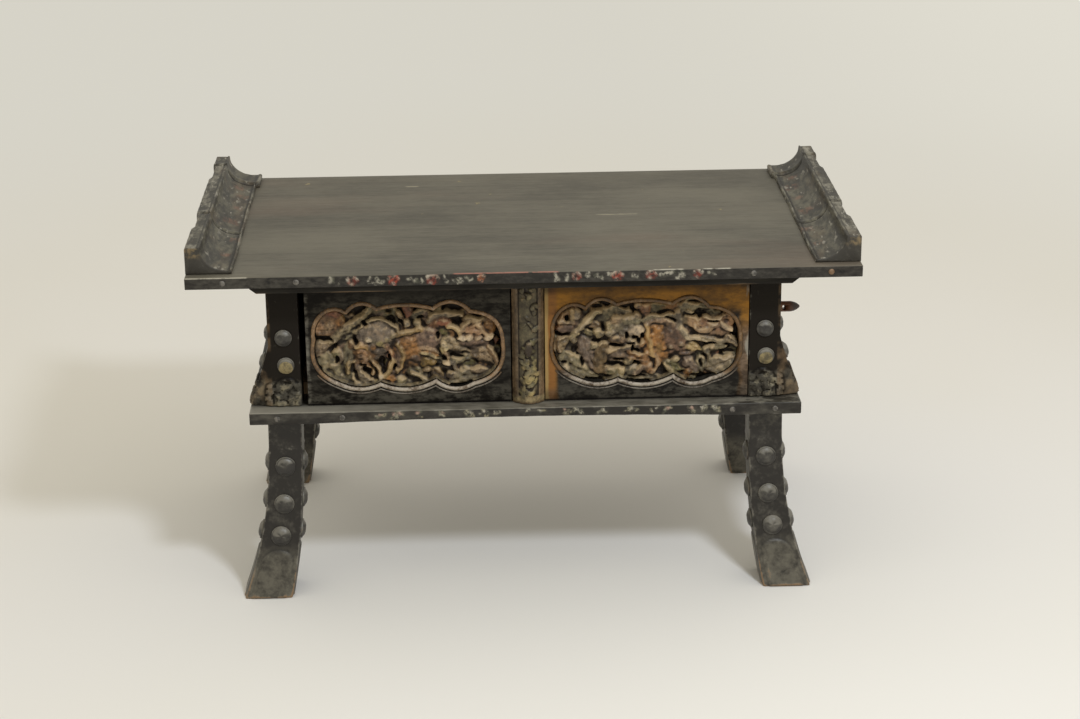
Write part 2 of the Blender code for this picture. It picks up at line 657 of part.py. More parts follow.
def make_carved_panel(name, parent):
    """Board behind the front whose carved relief fills the opening."""
    bm = bmesh.new()
    edge = cartouche(-CARVING_CLEARANCE)
    columns = int(2 * CARTOUCHE_HALF_WIDTH / CARVING_GRID)
    rows = int(2 * CARTOUCHE_HALF_HEIGHT / CARVING_GRID)
    spots = list(edge)
    fence = cartouche(-CARVING_CLEARANCE - CARVING_GRID / 2)
    for i in range(columns + 1):
        for j in range(rows + 1):
            spot = Vector((i * CARVING_GRID - CARTOUCHE_HALF_WIDTH,
                           j * CARVING_GRID - CARTOUCHE_HALF_HEIGHT))
            if inside(spot, fence):
                spots.append(spot)
    border = [(i, (i + 1) % len(edge)) for i in range(len(edge))]
    flat, _, triangles, _, _, _ = delaunay_2d_cdt(spots, border, [], 1, 1e-7)
    verts = []
    for i, spot in enumerate(flat):
        height = CARVING_FLOOR
        if i >= len(edge):
            height = carving_height(spot.x / CARTOUCHE_HALF_WIDTH * DRAWN_HALF_WIDTH,
                                    spot.y / CARTOUCHE_HALF_HEIGHT * DRAWN_HALF_HEIGHT)
        verts.append(bm.verts.new((spot.x, CARVING_BACK - height, CARTOUCHE_MIDDLE + spot.y)))
    for corners in triangles:
        bm.faces.new([verts[i] for i in corners])
    foot = ring_of_verts(bm, edge, CARVING_BACK)
    face = ring_of_verts(bm, front_outline(GAP), CARVING_BACK)
    back = ring_of_verts(bm, front_outline(GAP), CARVING_BACK + PANEL_BACK_THICKNESS)
    fill_round(bm, face, foot)
    bridge(bm, foot, verts[:len(edge)])
    bridge(bm, face, back)
    bm.faces.new(back)
    piece(name, bm, "carved_colour", parent=parent)


def inside(spot, outline):
    """Whether a point lies inside a closed outline, by the crossings of a ray to its right."""
    odd = False
    for a, b in zip(outline, outline[1:] + outline[:1]):
        if (a.y > spot.y) != (b.y > spot.y) and spot.x < a.x + (b.x - a.x) * (spot.y - a.y) / (b.y - a.y):
            odd = not odd
    return odd


def make_drawer(side, x):
    """One drawer, with its origin at the foot of its front face."""
    drawer = bpy.data.objects.new("drawer_" + side, None)
    drawer.location = (x, -POST_FRONT, DRAWER_FOOT)
    bpy.context.scene.collection.objects.link(drawer)
    start = side + "_drawer_"
    make_drawer_front(start + "front", drawer)
    make_carved_panel(start + "carving", drawer)
    half = DRAWER_WIDTH / 2 - GAP
    near = CARVING_BACK + PANEL_BACK_THICKNESS + GAP
    for end, low in (("side_left", -half), ("side_right", half - DRAWER_WALL)):
        board(start + end, (low, near, 0.0), (low + DRAWER_WALL, DRAWER_LENGTH, DRAWER_WALL_HEIGHT),
              "bare_wood", drawer)
    room = half - DRAWER_WALL - GAP
    board(start + "back", (-room, DRAWER_LENGTH - DRAWER_WALL, 0.0),
          (room, DRAWER_LENGTH, DRAWER_WALL_HEIGHT), "bare_wood", drawer)
    board(start + "bottom", (-room, near, 0.0),
          (room, DRAWER_LENGTH - DRAWER_WALL - GAP, DRAWER_BOTTOM_THICKNESS), "bare_wood", drawer)


# Nails and peg

def nail_holes(places, y, z):
    """Holes for a row of nails driven in from the front until their heads lie flush."""
    shank = NAIL_SHANK_RADIUS + HOLE_CLEARANCE
    head = NAIL_HEAD_RADIUS + HOLE_CLEARANCE
    profile = [(0.0, -NAIL_LENGTH - HOLE_CLEARANCE), (shank, -NAIL_LENGTH - HOLE_CLEARANCE),
               (shank, -NAIL_HEAD_RISE - GAP), (head, -NAIL_HEAD_RISE - GAP), (head, NAIL_HEAD_RISE),
               (0.0, NAIL_HEAD_RISE)]
    bm = bmesh.new()
    for x in places:
        add_turned(bm, profile, NAIL_SIDES, facing((x, y, z), (0.0, -1.0, 0.0)))
    return bm


def make_nails(name, places, y, z):
    profile = [(0.0, -NAIL_LENGTH), (NAIL_SHANK_RADIUS, -NAIL_LENGTH), (NAIL_SHANK_RADIUS, -NAIL_HEAD_RISE),
               (NAIL_HEAD_RADIUS, -NAIL_HEAD_RISE), (NAIL_HEAD_RADIUS / 2, 0.0), (0.0, 0.0)]
    for number, x in enumerate(places, start=1):
        bm = bmesh.new()
        add_turned(bm, profile, NAIL_SIDES, facing((0.0, 0.0, 0.0), (0.0, -1.0, 0.0)))
        piece(f"{name}_{number}", bm, "iron", (x, y, z), smooth=True)


def peg_hole(middle):
    """Blind hole for the peg, in the coordinates of the right end panel."""
    radius = PEG_SHANK_RADIUS + HOLE_CLEARANCE
    face = PANEL_THICKNESS / 2
    profile = [(0.0, face - PEG_SHANK - HOLE_CLEARANCE), (radius, face - PEG_SHANK - HOLE_CLEARANCE),
               (radius, face + PEG_NECK), (0.0, face + PEG_NECK)]
    bm = bmesh.new()
    add_turned(bm, profile, PEG_SIDES, facing((0.0, 0.0, PEG_HEIGHT - middle.z), (1.0, 0.0, 0.0)))
    return bm


def make_peg():
    """Pointed peg with an eye, standing out of the right end panel; its origin is on the panel's face."""
    profile = [(0.0, -PEG_SHANK), (PEG_SHANK_RADIUS, -PEG_SHANK), (PEG_SHANK_RADIUS, GAP),
               (PEG_BODY_RADIUS, GAP), (PEG_BODY_RADIUS, PEG_REACH - PEG_TIP),
               (PEG_TIP_RADIUS, PEG_REACH - PEG_TIP / 2), (0.0, PEG_REACH)]
    bm = bmesh.new()
    add_turned(bm, profile, PEG_SIDES, facing((0.0, 0.0, 0.0), (1.0, 0.0, 0.0)))
    peg = piece("side_peg", bm, "red_brown", (POST_OUTER - PANEL_INSET, 0.0, PEG_HEIGHT), smooth=True)
    eye = bmesh.new()
    eye_end = PEG_NECK + PEG_EYE
    add_box(eye, (PEG_NECK, -2 * PEG_BODY_RADIUS, -PEG_EYE_HEIGHT / 2),
            (eye_end, 2 * PEG_BODY_RADIUS, PEG_EYE_HEIGHT / 2))
    cut(peg, eye)


def main():
    clear_scene()
    make_top_board()
    make_rails()
    make_brush_stops()
    make_shelf()
    for end in ENDS:
        for side in SIDES:
            make_corner(end, side)
    make_case()
    make_guides()
    make_strut()
    make_drawer("left", LEFT_DRAWER_X)
    make_drawer("right", RIGHT_DRAWER_X)
    make_nails("top_edge_nail", TOP_NAILS, -TOP_DEPTH / 2, (TOP_HEIGHT + TOP_UNDER) / 2)
    make_nails("shelf_edge_nail", SHELF_NAILS, -SHELF_DEPTH / 2, (SHELF_HEIGHT + SHELF_UNDER) / 2)
    make_peg()


main()
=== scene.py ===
"""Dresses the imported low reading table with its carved, worn and painted pieces, a stage and a camera."""

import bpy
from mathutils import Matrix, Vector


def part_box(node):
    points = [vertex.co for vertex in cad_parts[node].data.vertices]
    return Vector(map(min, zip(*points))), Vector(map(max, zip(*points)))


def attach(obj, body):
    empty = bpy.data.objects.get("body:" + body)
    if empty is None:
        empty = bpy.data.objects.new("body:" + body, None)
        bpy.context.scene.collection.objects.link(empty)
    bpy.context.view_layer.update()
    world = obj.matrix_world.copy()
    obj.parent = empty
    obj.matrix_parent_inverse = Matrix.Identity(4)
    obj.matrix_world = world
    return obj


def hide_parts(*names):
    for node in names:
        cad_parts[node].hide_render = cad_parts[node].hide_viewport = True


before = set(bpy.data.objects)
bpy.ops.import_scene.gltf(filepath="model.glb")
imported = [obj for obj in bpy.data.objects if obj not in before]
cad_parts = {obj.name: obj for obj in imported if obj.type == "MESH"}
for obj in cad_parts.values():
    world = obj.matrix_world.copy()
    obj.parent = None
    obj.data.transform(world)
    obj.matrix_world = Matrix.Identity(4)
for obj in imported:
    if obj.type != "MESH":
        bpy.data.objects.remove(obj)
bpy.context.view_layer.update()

import math

import bmesh
import bpy
import numpy as np
from bpy.props import FloatProperty, FloatVectorProperty, PointerProperty
from mathutils import Matrix, Vector

bl_info = {
    "name": "Low reading table",
    "version": (1, 0, 0),
    "blender": (4, 5, 0),
    "location": "View3D > Sidebar > Reading table",
    "description": "Dresses the packed low reading table with its carved, worn and painted pieces",
    "category": "Object",
}

MM = 0.001
SIDES = {"left": -1, "right": 1}
ENDS = {"front": -1, "back": 1}

# Places that follow the solids
TOP_LOW, TOP_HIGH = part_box("top_board")
POST_INNER = 0.204
POST_OUTER = 0.2325
POST_FRONT = 0.133
POST_BACK = 0.103
POST_FOOT = 0.1807
POST_HEAD = 0.2977
POST_FLARE = 0.0185
POST_FLARE_HEIGHT = 0.058
POST_FLARE_POWER = 1.1
POST_WING = 3 * MM
POST_BOSSES = (0.2465, 0.22)
POST_BOSS_RADIUS = 0.0078
LEG_INNER = 0.2055
LEG_OUTER = 0.236
LEG_HEAD = 0.1686
LEG_BOSSES = (0.122, 0.086, 0.056)
LEG_BOSS_RADIUS = 0.0092
FOOT_OUT = 0.027
FOOT_IN = 0.0135
FOOT_FRONT = 0.026
FOOT_BACK = 0.013
FOOT_POWER = 2.5
MIDDLE_DEPTH = (POST_FRONT + POST_BACK) / 2
FRONT_THICKNESS = 0.014
PANEL_BACK = 0.006
TOUCH = 0.0003
FLUSH = 0.00005
OPENING_MIDDLE = 0.23615
OPENING_HALF = (0.083575, 0.04005)

# Lobed outline of a drawer's opening, drawn 86 by 42 to each side: corner, then the rise of the arc after it
DRAWN_HALF = (86, 42)
LOBES = (
    (-57, 31.5, 8), (-29, 35.5, 4.2), (24, 35, 8.4), (57, 32, 10.2), (86, 0, 10.2), (60, -37, 6.5),
    (25, -33.5, 7), (-27, -36, 4.8), (-64, -35.5, 10.5), (-86, 8, 3), (-79, 31.5, 5),
)
LOBE_STEPS = 16
PATH_STEPS = 20
WAVES = 28

# Carvings: the panel's margin behind the opening, then the forms' shift up, ceiling in millimetres and swell
PANEL_MARGIN = 1.5 * MM
FORM_SHIFT = 1.2
FORM_CEILING = 13.6
FORM_SWELL = 1.22

# Stretches of each opening's lower edge where forms run over the sill, in millimetres along the table
SILL_BREAKS = {"left": ((-67, -50),), "right": ((56, 70), (94, 112), (148, 172))}

# Scratch and chip on the top: start, end, depth and thickness
TOP_MARKS = ((0.071, 0.114, 0.011, 1.3 * MM), (-0.112, -0.096, 0.122, 2.2 * MM))

# Cross grooves of the brush stops along the depth, the waist before each, and the cuts along a stop
STOP_GROOVES = (-0.042, 0.126)
STOP_WAIST = 0.05
STOP_CUTS = 279

# Camera as fitted to the photograph, with the lens in pixels and yaw, pitch and roll, then lamp and floor
LENS_PIXELS = 2375.4
PHOTO_WIDTH = 1080
SENSOR_WIDTH = 36
CAMERA_PLACE = (-0.0519, -2.1632, 0.9528)
CAMERA_TURNS = (0.03219, 0.34592, -0.01014)
LAMP_PLACE = (0.493, -1.01, 1.396)
LAMP_AIM = (0, 0, 0.2)
FLOOR_RADIUS = 14

# Dark tones that paint and lacquer are mixed with
BLACK = (0, 0, 0)
SOOT = (0.02, 0.01, 0.008)
SHADE = (0.01, 0.015, 0.012)
AGE_AND_SHADE = (0.02, 0.013, 0.008)


def colour_property(name, default, description):
    return FloatVectorProperty(name=name, description=description, default=default, size=3,
                               subtype="COLOR", min=0, max=1)


def length_property(name, default, description):
    return FloatProperty(name=name, description=description, default=default, min=0, unit="LENGTH")


class LacquerColours(bpy.types.PropertyGroup):
    """Colours of the plain lacquered and bare wood."""
    top: colour_property("Top", (0.13, 0.118, 0.09), "Worn grey brown lacquer of the top")
    black: colour_property("Black", (0.014, 0.0115, 0.009), "Black lacquer where it is whole")
    grey: colour_property("Grey", (0.085, 0.078, 0.063), "Black lacquer that has gone dull and grey")
    pale: colour_property("Pale", (0.3, 0.28, 0.235), "Grey where the lacquer is rubbed thin")
    bare: colour_property("Bare wood", (0.2, 0.125, 0.065), "Brown wood where the lacquer is rubbed off")
    ochre: colour_property("Ochre", (0.29, 0.132, 0.018), "Worn amber lacquer of the right drawer")
    bead: colour_property("Bead", (0.235, 0.15, 0.085), "Light brown beads round the carvings")
    scar: colour_property("Scar", (0.33, 0.26, 0.12), "Yellowish wood of bosses that lost their lacquer")
    inner: colour_property("Inner wood", (0.33, 0.215, 0.115), "Plain wood of the drawer boxes")
    iron: colour_property("Iron", (0.105, 0.099, 0.092), "Nail heads")
    peg: colour_property("Peg", (0.17, 0.062, 0.024), "Red brown peg")


class PaintColours(bpy.types.PropertyGroup):
    """Faded colours on the carvings and the painted edges."""
    leaf: colour_property("Leaf", (0.185, 0.175, 0.12), "Grey green leaves")
    pale: colour_property("Pale leaf", (0.3, 0.255, 0.185), "Leaves worn to a pale grey")
    moss: colour_property("Moss", (0.105, 0.105, 0.035), "Dark green leaves")
    mane: colour_property("Mane", (0.205, 0.175, 0.16), "Grey mauve mane")
    coat: colour_property("Coat", (0.31, 0.15, 0.048), "Orange brown coat of the lions")
    haunch: colour_property("Haunch", (0.19, 0.13, 0.11), "Mauve haunch")
    tail: colour_property("Tail", (0.43, 0.36, 0.2), "Pale yellow tail")
    bloom: colour_property("Bloom", (0.33, 0.21, 0.135), "Pinkish tan blossoms")
    rust: colour_property("Rust", (0.24, 0.095, 0.06), "Red brown petals")
    white: colour_property("White", (0.64, 0.56, 0.47), "Whitened eyes and pearls")
    red: colour_property("Red", (0.33, 0.045, 0.022), "Red blossoms on the painted edges")
    cream: colour_property("Cream", (0.42, 0.39, 0.32), "Pale outlines on the painted edges")


class TableSizes(bpy.types.PropertyGroup):
    """Fineness and rounding of the dressed pieces."""
    edge: length_property("Edge", 1.2 * MM, "Rounding of worn wooden edges")
    net: length_property("Net", 1.5 * MM, "Size of the faces on posts and legs")
    carving_net: length_property("Carving net", 0.5 * MM, "Size of the faces on the carvings")
    bead: length_property("Bead", 1.9 * MM, "Radius of the bead round each carving")
    boss_rise: length_property("Boss rise", 4.2 * MM, "Height of the bosses above their faces")
    nail_rise: length_property("Nail rise", 0.9 * MM, "Height of the nail heads above their edge")


class StageSettings(bpy.types.PropertyGroup):
    """Floor, light and background."""
    floor: colour_property("Floor", (0.805, 0.795, 0.795), "Pale floor")
    backdrop: colour_property("Backdrop", (0.75, 0.725, 0.64), "Background behind the floor")
    fill: colour_property("Fill light", (0.79, 0.745, 0.625), "Soft light from all round")
    lamp: colour_property("Lamp", (0.87, 0.925, 1), "Colour of the studio lamp")
    power: FloatProperty(name="Lamp power", description="Strength of the studio lamp", default=11.4, min=0,
                         unit="POWER")
    width: length_property("Lamp width", 0.22, "Width of the studio lamp")


class ReadingTable(bpy.types.PropertyGroup):
    """All settings of the table."""
    lacquer: PointerProperty(type=LacquerColours)
    paint: PointerProperty(type=PaintColours)
    sizes: PointerProperty(type=TableSizes)
    stage: PointerProperty(type=StageSettings)


class Socket:
    """A node's output that takes part in Python sums."""

    def __init__(self, finish, output):
        self.finish = finish
        self.output = output

    def math(self, operation, *values):
        return self.finish.node("ShaderNodeMath", {"operation": operation}, self, *values)

    def __add__(self, other):
        return self.math("ADD", other)

    def __sub__(self, other):
        return self.math("SUBTRACT", other)

    def __rsub__(self, other):
        return self.finish.node("ShaderNodeMath", {"operation": "SUBTRACT"}, other, self)

    def __mul__(self, other):
        return self.math("MULTIPLY", other)

    def __abs__(self):
        return self.math("ABSOLUTE")

    __radd__ = __add__
    __rmul__ = __mul__


class Finish:
    """One procedural material, and the nodes that its expressions add."""

    def __init__(self, name, gloss=0.5, metallic=0):
        self.material = bpy.data.materials.new(name)
        self.material.use_nodes = True
        self.tree = self.material.node_tree
        self.shader = self.tree.nodes["Principled BSDF"]
        self.set("Specular IOR Level", gloss)
        self.set("Metallic", metallic)
        self.makers = self.noise, self.step, self.mix

    def set(self, socket, value):
        self.feed(self.shader.inputs[socket], value)

    def feed(self, socket, value):
        if isinstance(value, Socket):
            self.tree.links.new(value.output, socket)
        elif socket.type == "RGBA" and len(value) == 3:
            socket.default_value = (*value, 1)
        else:
            socket.default_value = value

    def node(self, kind, settings, *values, out=0, **named):
        """A node of a kind with its settings, then its sockets in order or by name."""
        made = self.tree.nodes.new(kind)
        for key, value in settings.items():
            setattr(made, key, value)
        for socket, value in zip(made.inputs, values):
            self.feed(socket, value)
        for key, value in named.items():
            self.feed(made.inputs[key.replace("_", " ")], value)
        return Socket(self, made.outputs[out])

    def place(self, stretch=(1, 1, 1), shift=(0, 0, 0)):
        """Object coordinates, stretched and shifted."""
        spot = self.node("ShaderNodeTexCoord", {}, out="Object")
        return self.node("ShaderNodeMapping", {}, Vector=spot, Scale=stretch, Location=shift)

    def axes(self):
        spot = self.node("ShaderNodeTexCoord", {}, out="Object")
        return [self.node("ShaderNodeSeparateXYZ", {}, spot, out=axis) for axis in range(3)]

    def noise(self, scale, detail=4, stretch=(1, 1, 1), shift=(0, 0, 0), roughness=0.55):
        return self.node("ShaderNodeTexNoise", {}, Vector=self.place(stretch, shift), Scale=scale,
                         Detail=detail, Roughness=roughness)

    def step(self, value, low, high):
        """A soft step from 0 below low to 1 above high."""
        return self.node("ShaderNodeMapRange", {"interpolation_type": "SMOOTHSTEP"}, value, low, high, 0, 1)

    def mix(self, share, first, second):
        made = self.tree.nodes.new("ShaderNodeMix")
        made.data_type = "RGBA"
        self.feed(made.inputs[0], share)
        self.feed(made.inputs[6], first)
        self.feed(made.inputs[7], second)
        return Socket(self, made.outputs[2])

    def attribute(self, name, out="Fac"):
        return self.node("ShaderNodeAttribute", {"attribute_name": name}, out=out)

    def done(self, colour, roughness, height, distance, strength):
        """Set the final colour, the roughness and the bump, and give the material."""
        self.set("Base Color", colour)
        self.set("Roughness", roughness)
        normal = self.node("ShaderNodeBump", {}, Strength=strength, Distance=distance, Height=height)
        self.set("Normal", normal)
        return self.material

    def edge_of(self, low, high):
        """Distance from the nearest edge of a box, for a point on one of its faces."""
        nearest = []
        for axis, start, end in zip(self.axes(), low, high):
            nearest.append((axis - start).math("MINIMUM", end - axis))
        first, second, third = nearest
        least = first.math("MINIMUM", second)
        most = first.math("MAXIMUM", second)
        return least.math("MAXIMUM", most.math("MINIMUM", third))


def read(rows, key, width):
    values = np.empty(len(rows) * width)
    rows.foreach_get(key, values)
    return values.reshape(-1, width)


def points_of(mesh):
    """The places of a mesh's points, then copies of their three coordinates."""
    spots = read(mesh.vertices, "co", 3)
    return spots, *spots.T.copy()


def unit(values):
    """Numbers held between 0 and 1."""
    return np.clip(values, 0, 1)


def heading(turn):
    return np.array((math.cos(turn), math.sin(turn)))


def sprig(chance, middle, reach, bend):
    """Three places of a leaf that lies through a middle, bent a little by chance."""
    return [middle - reach, middle + chance.uniform(-bend, bend, 2), middle + reach]


def write_spots(mesh, spots):
    mesh.vertices.foreach_set("co", spots.astype(np.float32).ravel())
    mesh.update()


def store(mesh, name, values):
    """Keep one number or one colour for each point of a mesh."""
    if values.ndim == 1:
        mesh.attributes.new(name, "FLOAT", "POINT").data.foreach_set("value", values.astype(np.float32))
    else:
        rows = np.concatenate([values, np.ones((len(values), 1))], axis=1).astype(np.float32)
        mesh.attributes.new(name, "FLOAT_COLOR", "POINT").data.foreach_set("color", rows.ravel())


def spread(mesh, values, passes):
    """Average the values of neighbouring points, over and over."""
    ends = np.empty(len(mesh.edges) * 2, dtype=np.int32)
    mesh.edges.foreach_get("vertices", ends)
    a, b = ends.reshape(-1, 2).T
    count = len(values)
    shared = np.bincount(a, minlength=count) + np.bincount(b, minlength=count)
    for _ in range(passes):
        rows = np.atleast_2d(values.T)
        rows = [np.bincount(a, row[b], count) + np.bincount(b, row[a], count) for row in rows]
        values = (np.stack(rows, axis=1) / shared[:, None]).reshape(values.shape)
    return values


def weather(mesh, passes, depth):
    """Store where a mesh stands out of its surroundings and wears, and where it is sunk below them."""
    spots = read(mesh.vertices, "co", 3)
    normals = read(mesh.vertices, "normal", 3)
    lift = ((spread(mesh, spots, passes) - spots) * normals).sum(axis=1) / depth
    store(mesh, "wear_and_highlight", unit(-lift))
    store(mesh, "hollow", unit(lift))


def mesh_of(name, bm, smooth=40):
    mesh = bpy.data.meshes.new(name)
    bm.to_mesh(mesh)
    bm.free()
    mesh.shade_smooth()
    if smooth < 180:
        mesh.set_sharp_from_angle(angle=math.radians(smooth))
    return mesh


def placed(name, data):
    """A new object in the scene for a mesh, curve, camera or light."""
    obj = bpy.data.objects.new(name, data)
    bpy.context.scene.collection.objects.link(obj)
    return obj


def baked(obj):
    """The mesh of an object as its bevel or modifiers leave it."""
    bpy.context.view_layer.update()
    return bpy.data.meshes.new_from_object(obj.evaluated_get(bpy.context.evaluated_depsgraph_get()))


def new_verts(grown):
    """The points among what an extrusion made."""
    return [item for item in grown["geom"] if isinstance(item, bmesh.types.BMVert)]


def piece(name, mesh, material, body, replaces=()):
    """Put a finished mesh in the scene and let it ride on a body of the solids."""
    mesh.materials.append(material)
    obj = placed(name, mesh)
    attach(obj, body)
    if replaces:
        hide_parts(*replaces)
    return obj


def paint_node(node, material):
    """Give a solid that stays in the scene a better material."""
    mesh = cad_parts[node].data
    mesh.materials.clear()
    mesh.materials.append(material)


def block(low, high, pitch, edge):
    """A board between two corners, rounded at its edges and cut into a net of faces."""
    low = Vector(low)
    size = Vector(high) - low
    bm = bmesh.new()
    place = Matrix.Translation(low + size / 2) @ Matrix.Diagonal((*size, 1))
    bmesh.ops.create_cube(bm, size=1, matrix=place)
    bmesh.ops.bevel(bm, geom=bm.edges[:], offset=edge, segments=3, profile=0.5, affect="EDGES", material=-1)
    for axis, step in enumerate(pitch):
        cuts = int(size[axis] / step) - 1
        along = [e for e in bm.edges if abs(e.verts[0].co[axis] - e.verts[1].co[axis]) > 0.5 * size[axis]]
        if cuts > 0:
            bmesh.ops.subdivide_edges(bm, edges=along, cuts=cuts, use_grid_fill=True)
    return bm


def turned(profile, steps):
    """A turned shape about Z: radius and height of each point of its outline, from the axis to the axis."""
    bm = bmesh.new()
    verts = [bm.verts.new((radius, 0, height)) for radius, height in profile]
    edges = [bm.edges.new(pair) for pair in zip(verts, verts[1:])]
    bmesh.ops.spin(bm, geom=verts + edges, cent=(0, 0, 0), axis=(0, 0, 1),
                   angle=2 * math.pi, steps=steps, use_merge=True)
    bmesh.ops.remove_doubles(bm, verts=bm.verts[:], dist=1e-7)
    bmesh.ops.recalc_face_normals(bm, faces=bm.faces[:])
    return bm


def facing(point, normal):
    turn = Vector(normal).to_track_quat("Z", "Y").to_matrix().to_4x4()
    return Matrix.Translation(point) @ turn


def many(source, places):
    """Copies of one shape at several places in one mesh. The source shape is used up."""
    pattern = bpy.data.meshes.new("pattern")
    source.to_mesh(pattern)
    source.free()
    bm = bmesh.new()
    for place in places:
        before = len(bm.verts)
        bm.from_mesh(pattern)
        bm.verts.ensure_lookup_table()
        bmesh.ops.transform(bm, matrix=place, verts=bm.verts[before:])
    bpy.data.meshes.remove(pattern)
    bmesh.ops.recalc_face_normals(bm, faces=bm.faces[:])
    return bm


def tube(name, points, radius, closed=True):
    """A round bead along a line of points, as a mesh."""
    curve = bpy.data.curves.new(name, "CURVE")
    curve.dimensions = "3D"
    curve.bevel_depth = radius
    curve.bevel_resolution = 3
    spline = curve.splines.new("POLY")
    spline.points.add(len(points) - 1)
    for spot, point in zip(spline.points, points):
        spot.co = (*point, 1)
    spline.use_cyclic_u = closed
    curve.use_fill_caps = not closed
    holder = placed(name, curve)
    mesh = baked(holder)
    bpy.data.objects.remove(holder)
    bpy.data.curves.remove(curve)
    mesh.shade_smooth()
    return mesh


class Relief:
    """A carved face: the height and the paint of each of its points, drawn in millimetres."""

    def __init__(self, u, w, floor, ground, swell=1):
        self.swell = swell
        self.u = u
        self.w = w
        self.height = np.full(u.shape, float(floor))
        self.paint = np.tile(np.array(ground, float), (u.size, 1))

    def lay(self, spots, height, colour):
        """Let a form show where it stands above what is there already."""
        wins = height > self.height[spots]
        chosen = spots[wins]
        self.height[chosen] = height[wins]
        self.paint[chosen] = np.array(colour)

    def near(self, low, high):
        inside = (self.u > low[0]) & (self.u < high[0]) & (self.w > low[1]) & (self.w < high[1])
        return np.nonzero(inside)[0]

    def follow(self, path, margin):
        """Points near a line, with their share of its way and distance to its left. Three places bend it."""
        line = np.array(path, float)
        if len(line) == 3:
            start, middle, end = line
            share = np.linspace(0, 1, PATH_STEPS + 1)[:, None]
            pull = 2 * middle - (start + end) / 2
            line = (1 - share) ** 2 * start + 2 * share * (1 - share) * pull + share ** 2 * end
        steps = len(line) - 1
        spots = self.near(line.min(axis=0) - margin, line.max(axis=0) + margin)
        nearest = np.full(spots.size, np.inf)
        way = np.zeros(spots.size)
        offset = np.zeros(spots.size)
        for i in range(steps):
            along = line[i + 1] - line[i]
            du = self.u[spots] - line[i, 0]
            dw = self.w[spots] - line[i, 1]
            part = unit((du * along[0] + dw * along[1]) / (along @ along))
            away = np.hypot(du - part * along[0], dw - part * along[1])
            better = away < nearest
            nearest[better] = away[better]
            way[better] = (i + part[better]) / steps
            offset[better] = np.copysign(away, along[0] * dw - along[1] * du)[better]
        return spots, way, offset

    def leaf(self, path, width, rise, colour, tip=0.7, veins=4, lobes=0, base=0):
        """A blade or petal with a sunk midrib and slanted veins. A large tip makes it broad at its end."""
        width = width * self.swell
        spots, way, offset = self.follow(path, width * 1.25)
        span = width * np.sin(np.pi * np.clip(way, 0.002, 0.998) ** tip) ** 0.65
        if lobes:
            span = span * (0.9 + 0.12 * np.abs(np.sin(np.pi * lobes * way)))
        across = offset / np.maximum(span, 0.05)
        inside = np.abs(across) < 1
        edge = unit(1 - np.abs(across) ** 2.6) ** 0.7
        rib = 0.22 * np.exp(-(across / 0.16) ** 2)
        vein = 0.05 * np.sin(2 * np.pi * (veins * way - 0.9 * np.abs(across))) if veins else 0
        face = edge * (0.86 + 0.14 * across ** 2 - rib + vein)
        height = base + rise * (0.56 + 0.44 * face) * (0.84 + 0.16 * np.sin(np.pi * way))
        self.lay(spots[inside], height[inside], colour)

    def limb(self, path, width, rise, colour):
        """A rounded limb, stem or lock along a bent line."""
        spots, _, offset = self.follow(path, width)
        across = offset / width
        inside = np.abs(across) < 1
        foot = max(0.5, 1 - 0.9 * width / rise)
        height = rise * (foot + (1 - foot) * np.sqrt(unit(1 - across ** 2)))
        self.lay(spots[inside], height[inside], colour)

    def arc(self, centre, radii, turns, width, rise, colour):
        """A rounded band along part of an ellipse, between two turns in degrees."""
        turn = np.radians(np.linspace(*turns, 25))
        path = np.stack([centre[0] + radii[0] * np.cos(turn), centre[1] + radii[1] * np.sin(turn)], axis=1)
        self.limb(path, width, rise, colour)

    def sink(self, centre, radii, level, colour):
        """A hole down to a level, with sides that slope."""
        spots, away, _ = self.polar(centre, radii)
        side = unit((away - 0.35) / 0.65) ** 1.5
        self.height[spots] = np.minimum(self.height[spots], level + side * (self.height[spots] - level))
        self.paint[spots] += (1 - side)[:, None] * (np.array(colour) - self.paint[spots])

    def polar(self, centre, radii):
        reach = np.array(radii, float)
        spots = self.near(np.array(centre) - reach, np.array(centre) + reach)
        du = (self.u[spots] - centre[0]) / radii[0]
        dw = (self.w[spots] - centre[1]) / radii[1]
        return spots, np.hypot(du, dw), np.arctan2(dw, du)

    def dome(self, centre, radii, rise, colour, base=0, strands=0, power=0.5):
        """A round form, with strands of hair that run out from its middle."""
        radii = np.array(radii) * self.swell
        spots, away, angle = self.polar(centre, radii)
        inside = away < 1
        foot = max(0.5, 1 - 0.9 * min(radii) / rise)
        height = base + rise * (foot + (1 - foot) * unit(1 - away ** 2) ** power)
        if strands:
            height = height - 0.8 * away * np.abs(np.sin(strands * angle / 2))
        self.lay(spots[inside], height[inside], colour)

    def curl(self, centre, radius, rise, colour, hand=1, base=0):
        """A snail curl of hair or cloud."""
        spots, away, angle = self.polar(centre, (radius, radius))
        inside = away < 1
        groove = 0.5 + 0.5 * np.cos(3 * np.pi * away - hand * angle)
        deep = unit(away * 3) * 0.24 * radius
        height = base + rise * (0.75 + 0.25 * unit(1 - away ** 4) ** 0.5) - deep * groove
        self.lay(spots[inside], height[inside], colour)


def mixed(first, second, share):
    return [a + (b - a) * share for a, b in zip(first, second)]


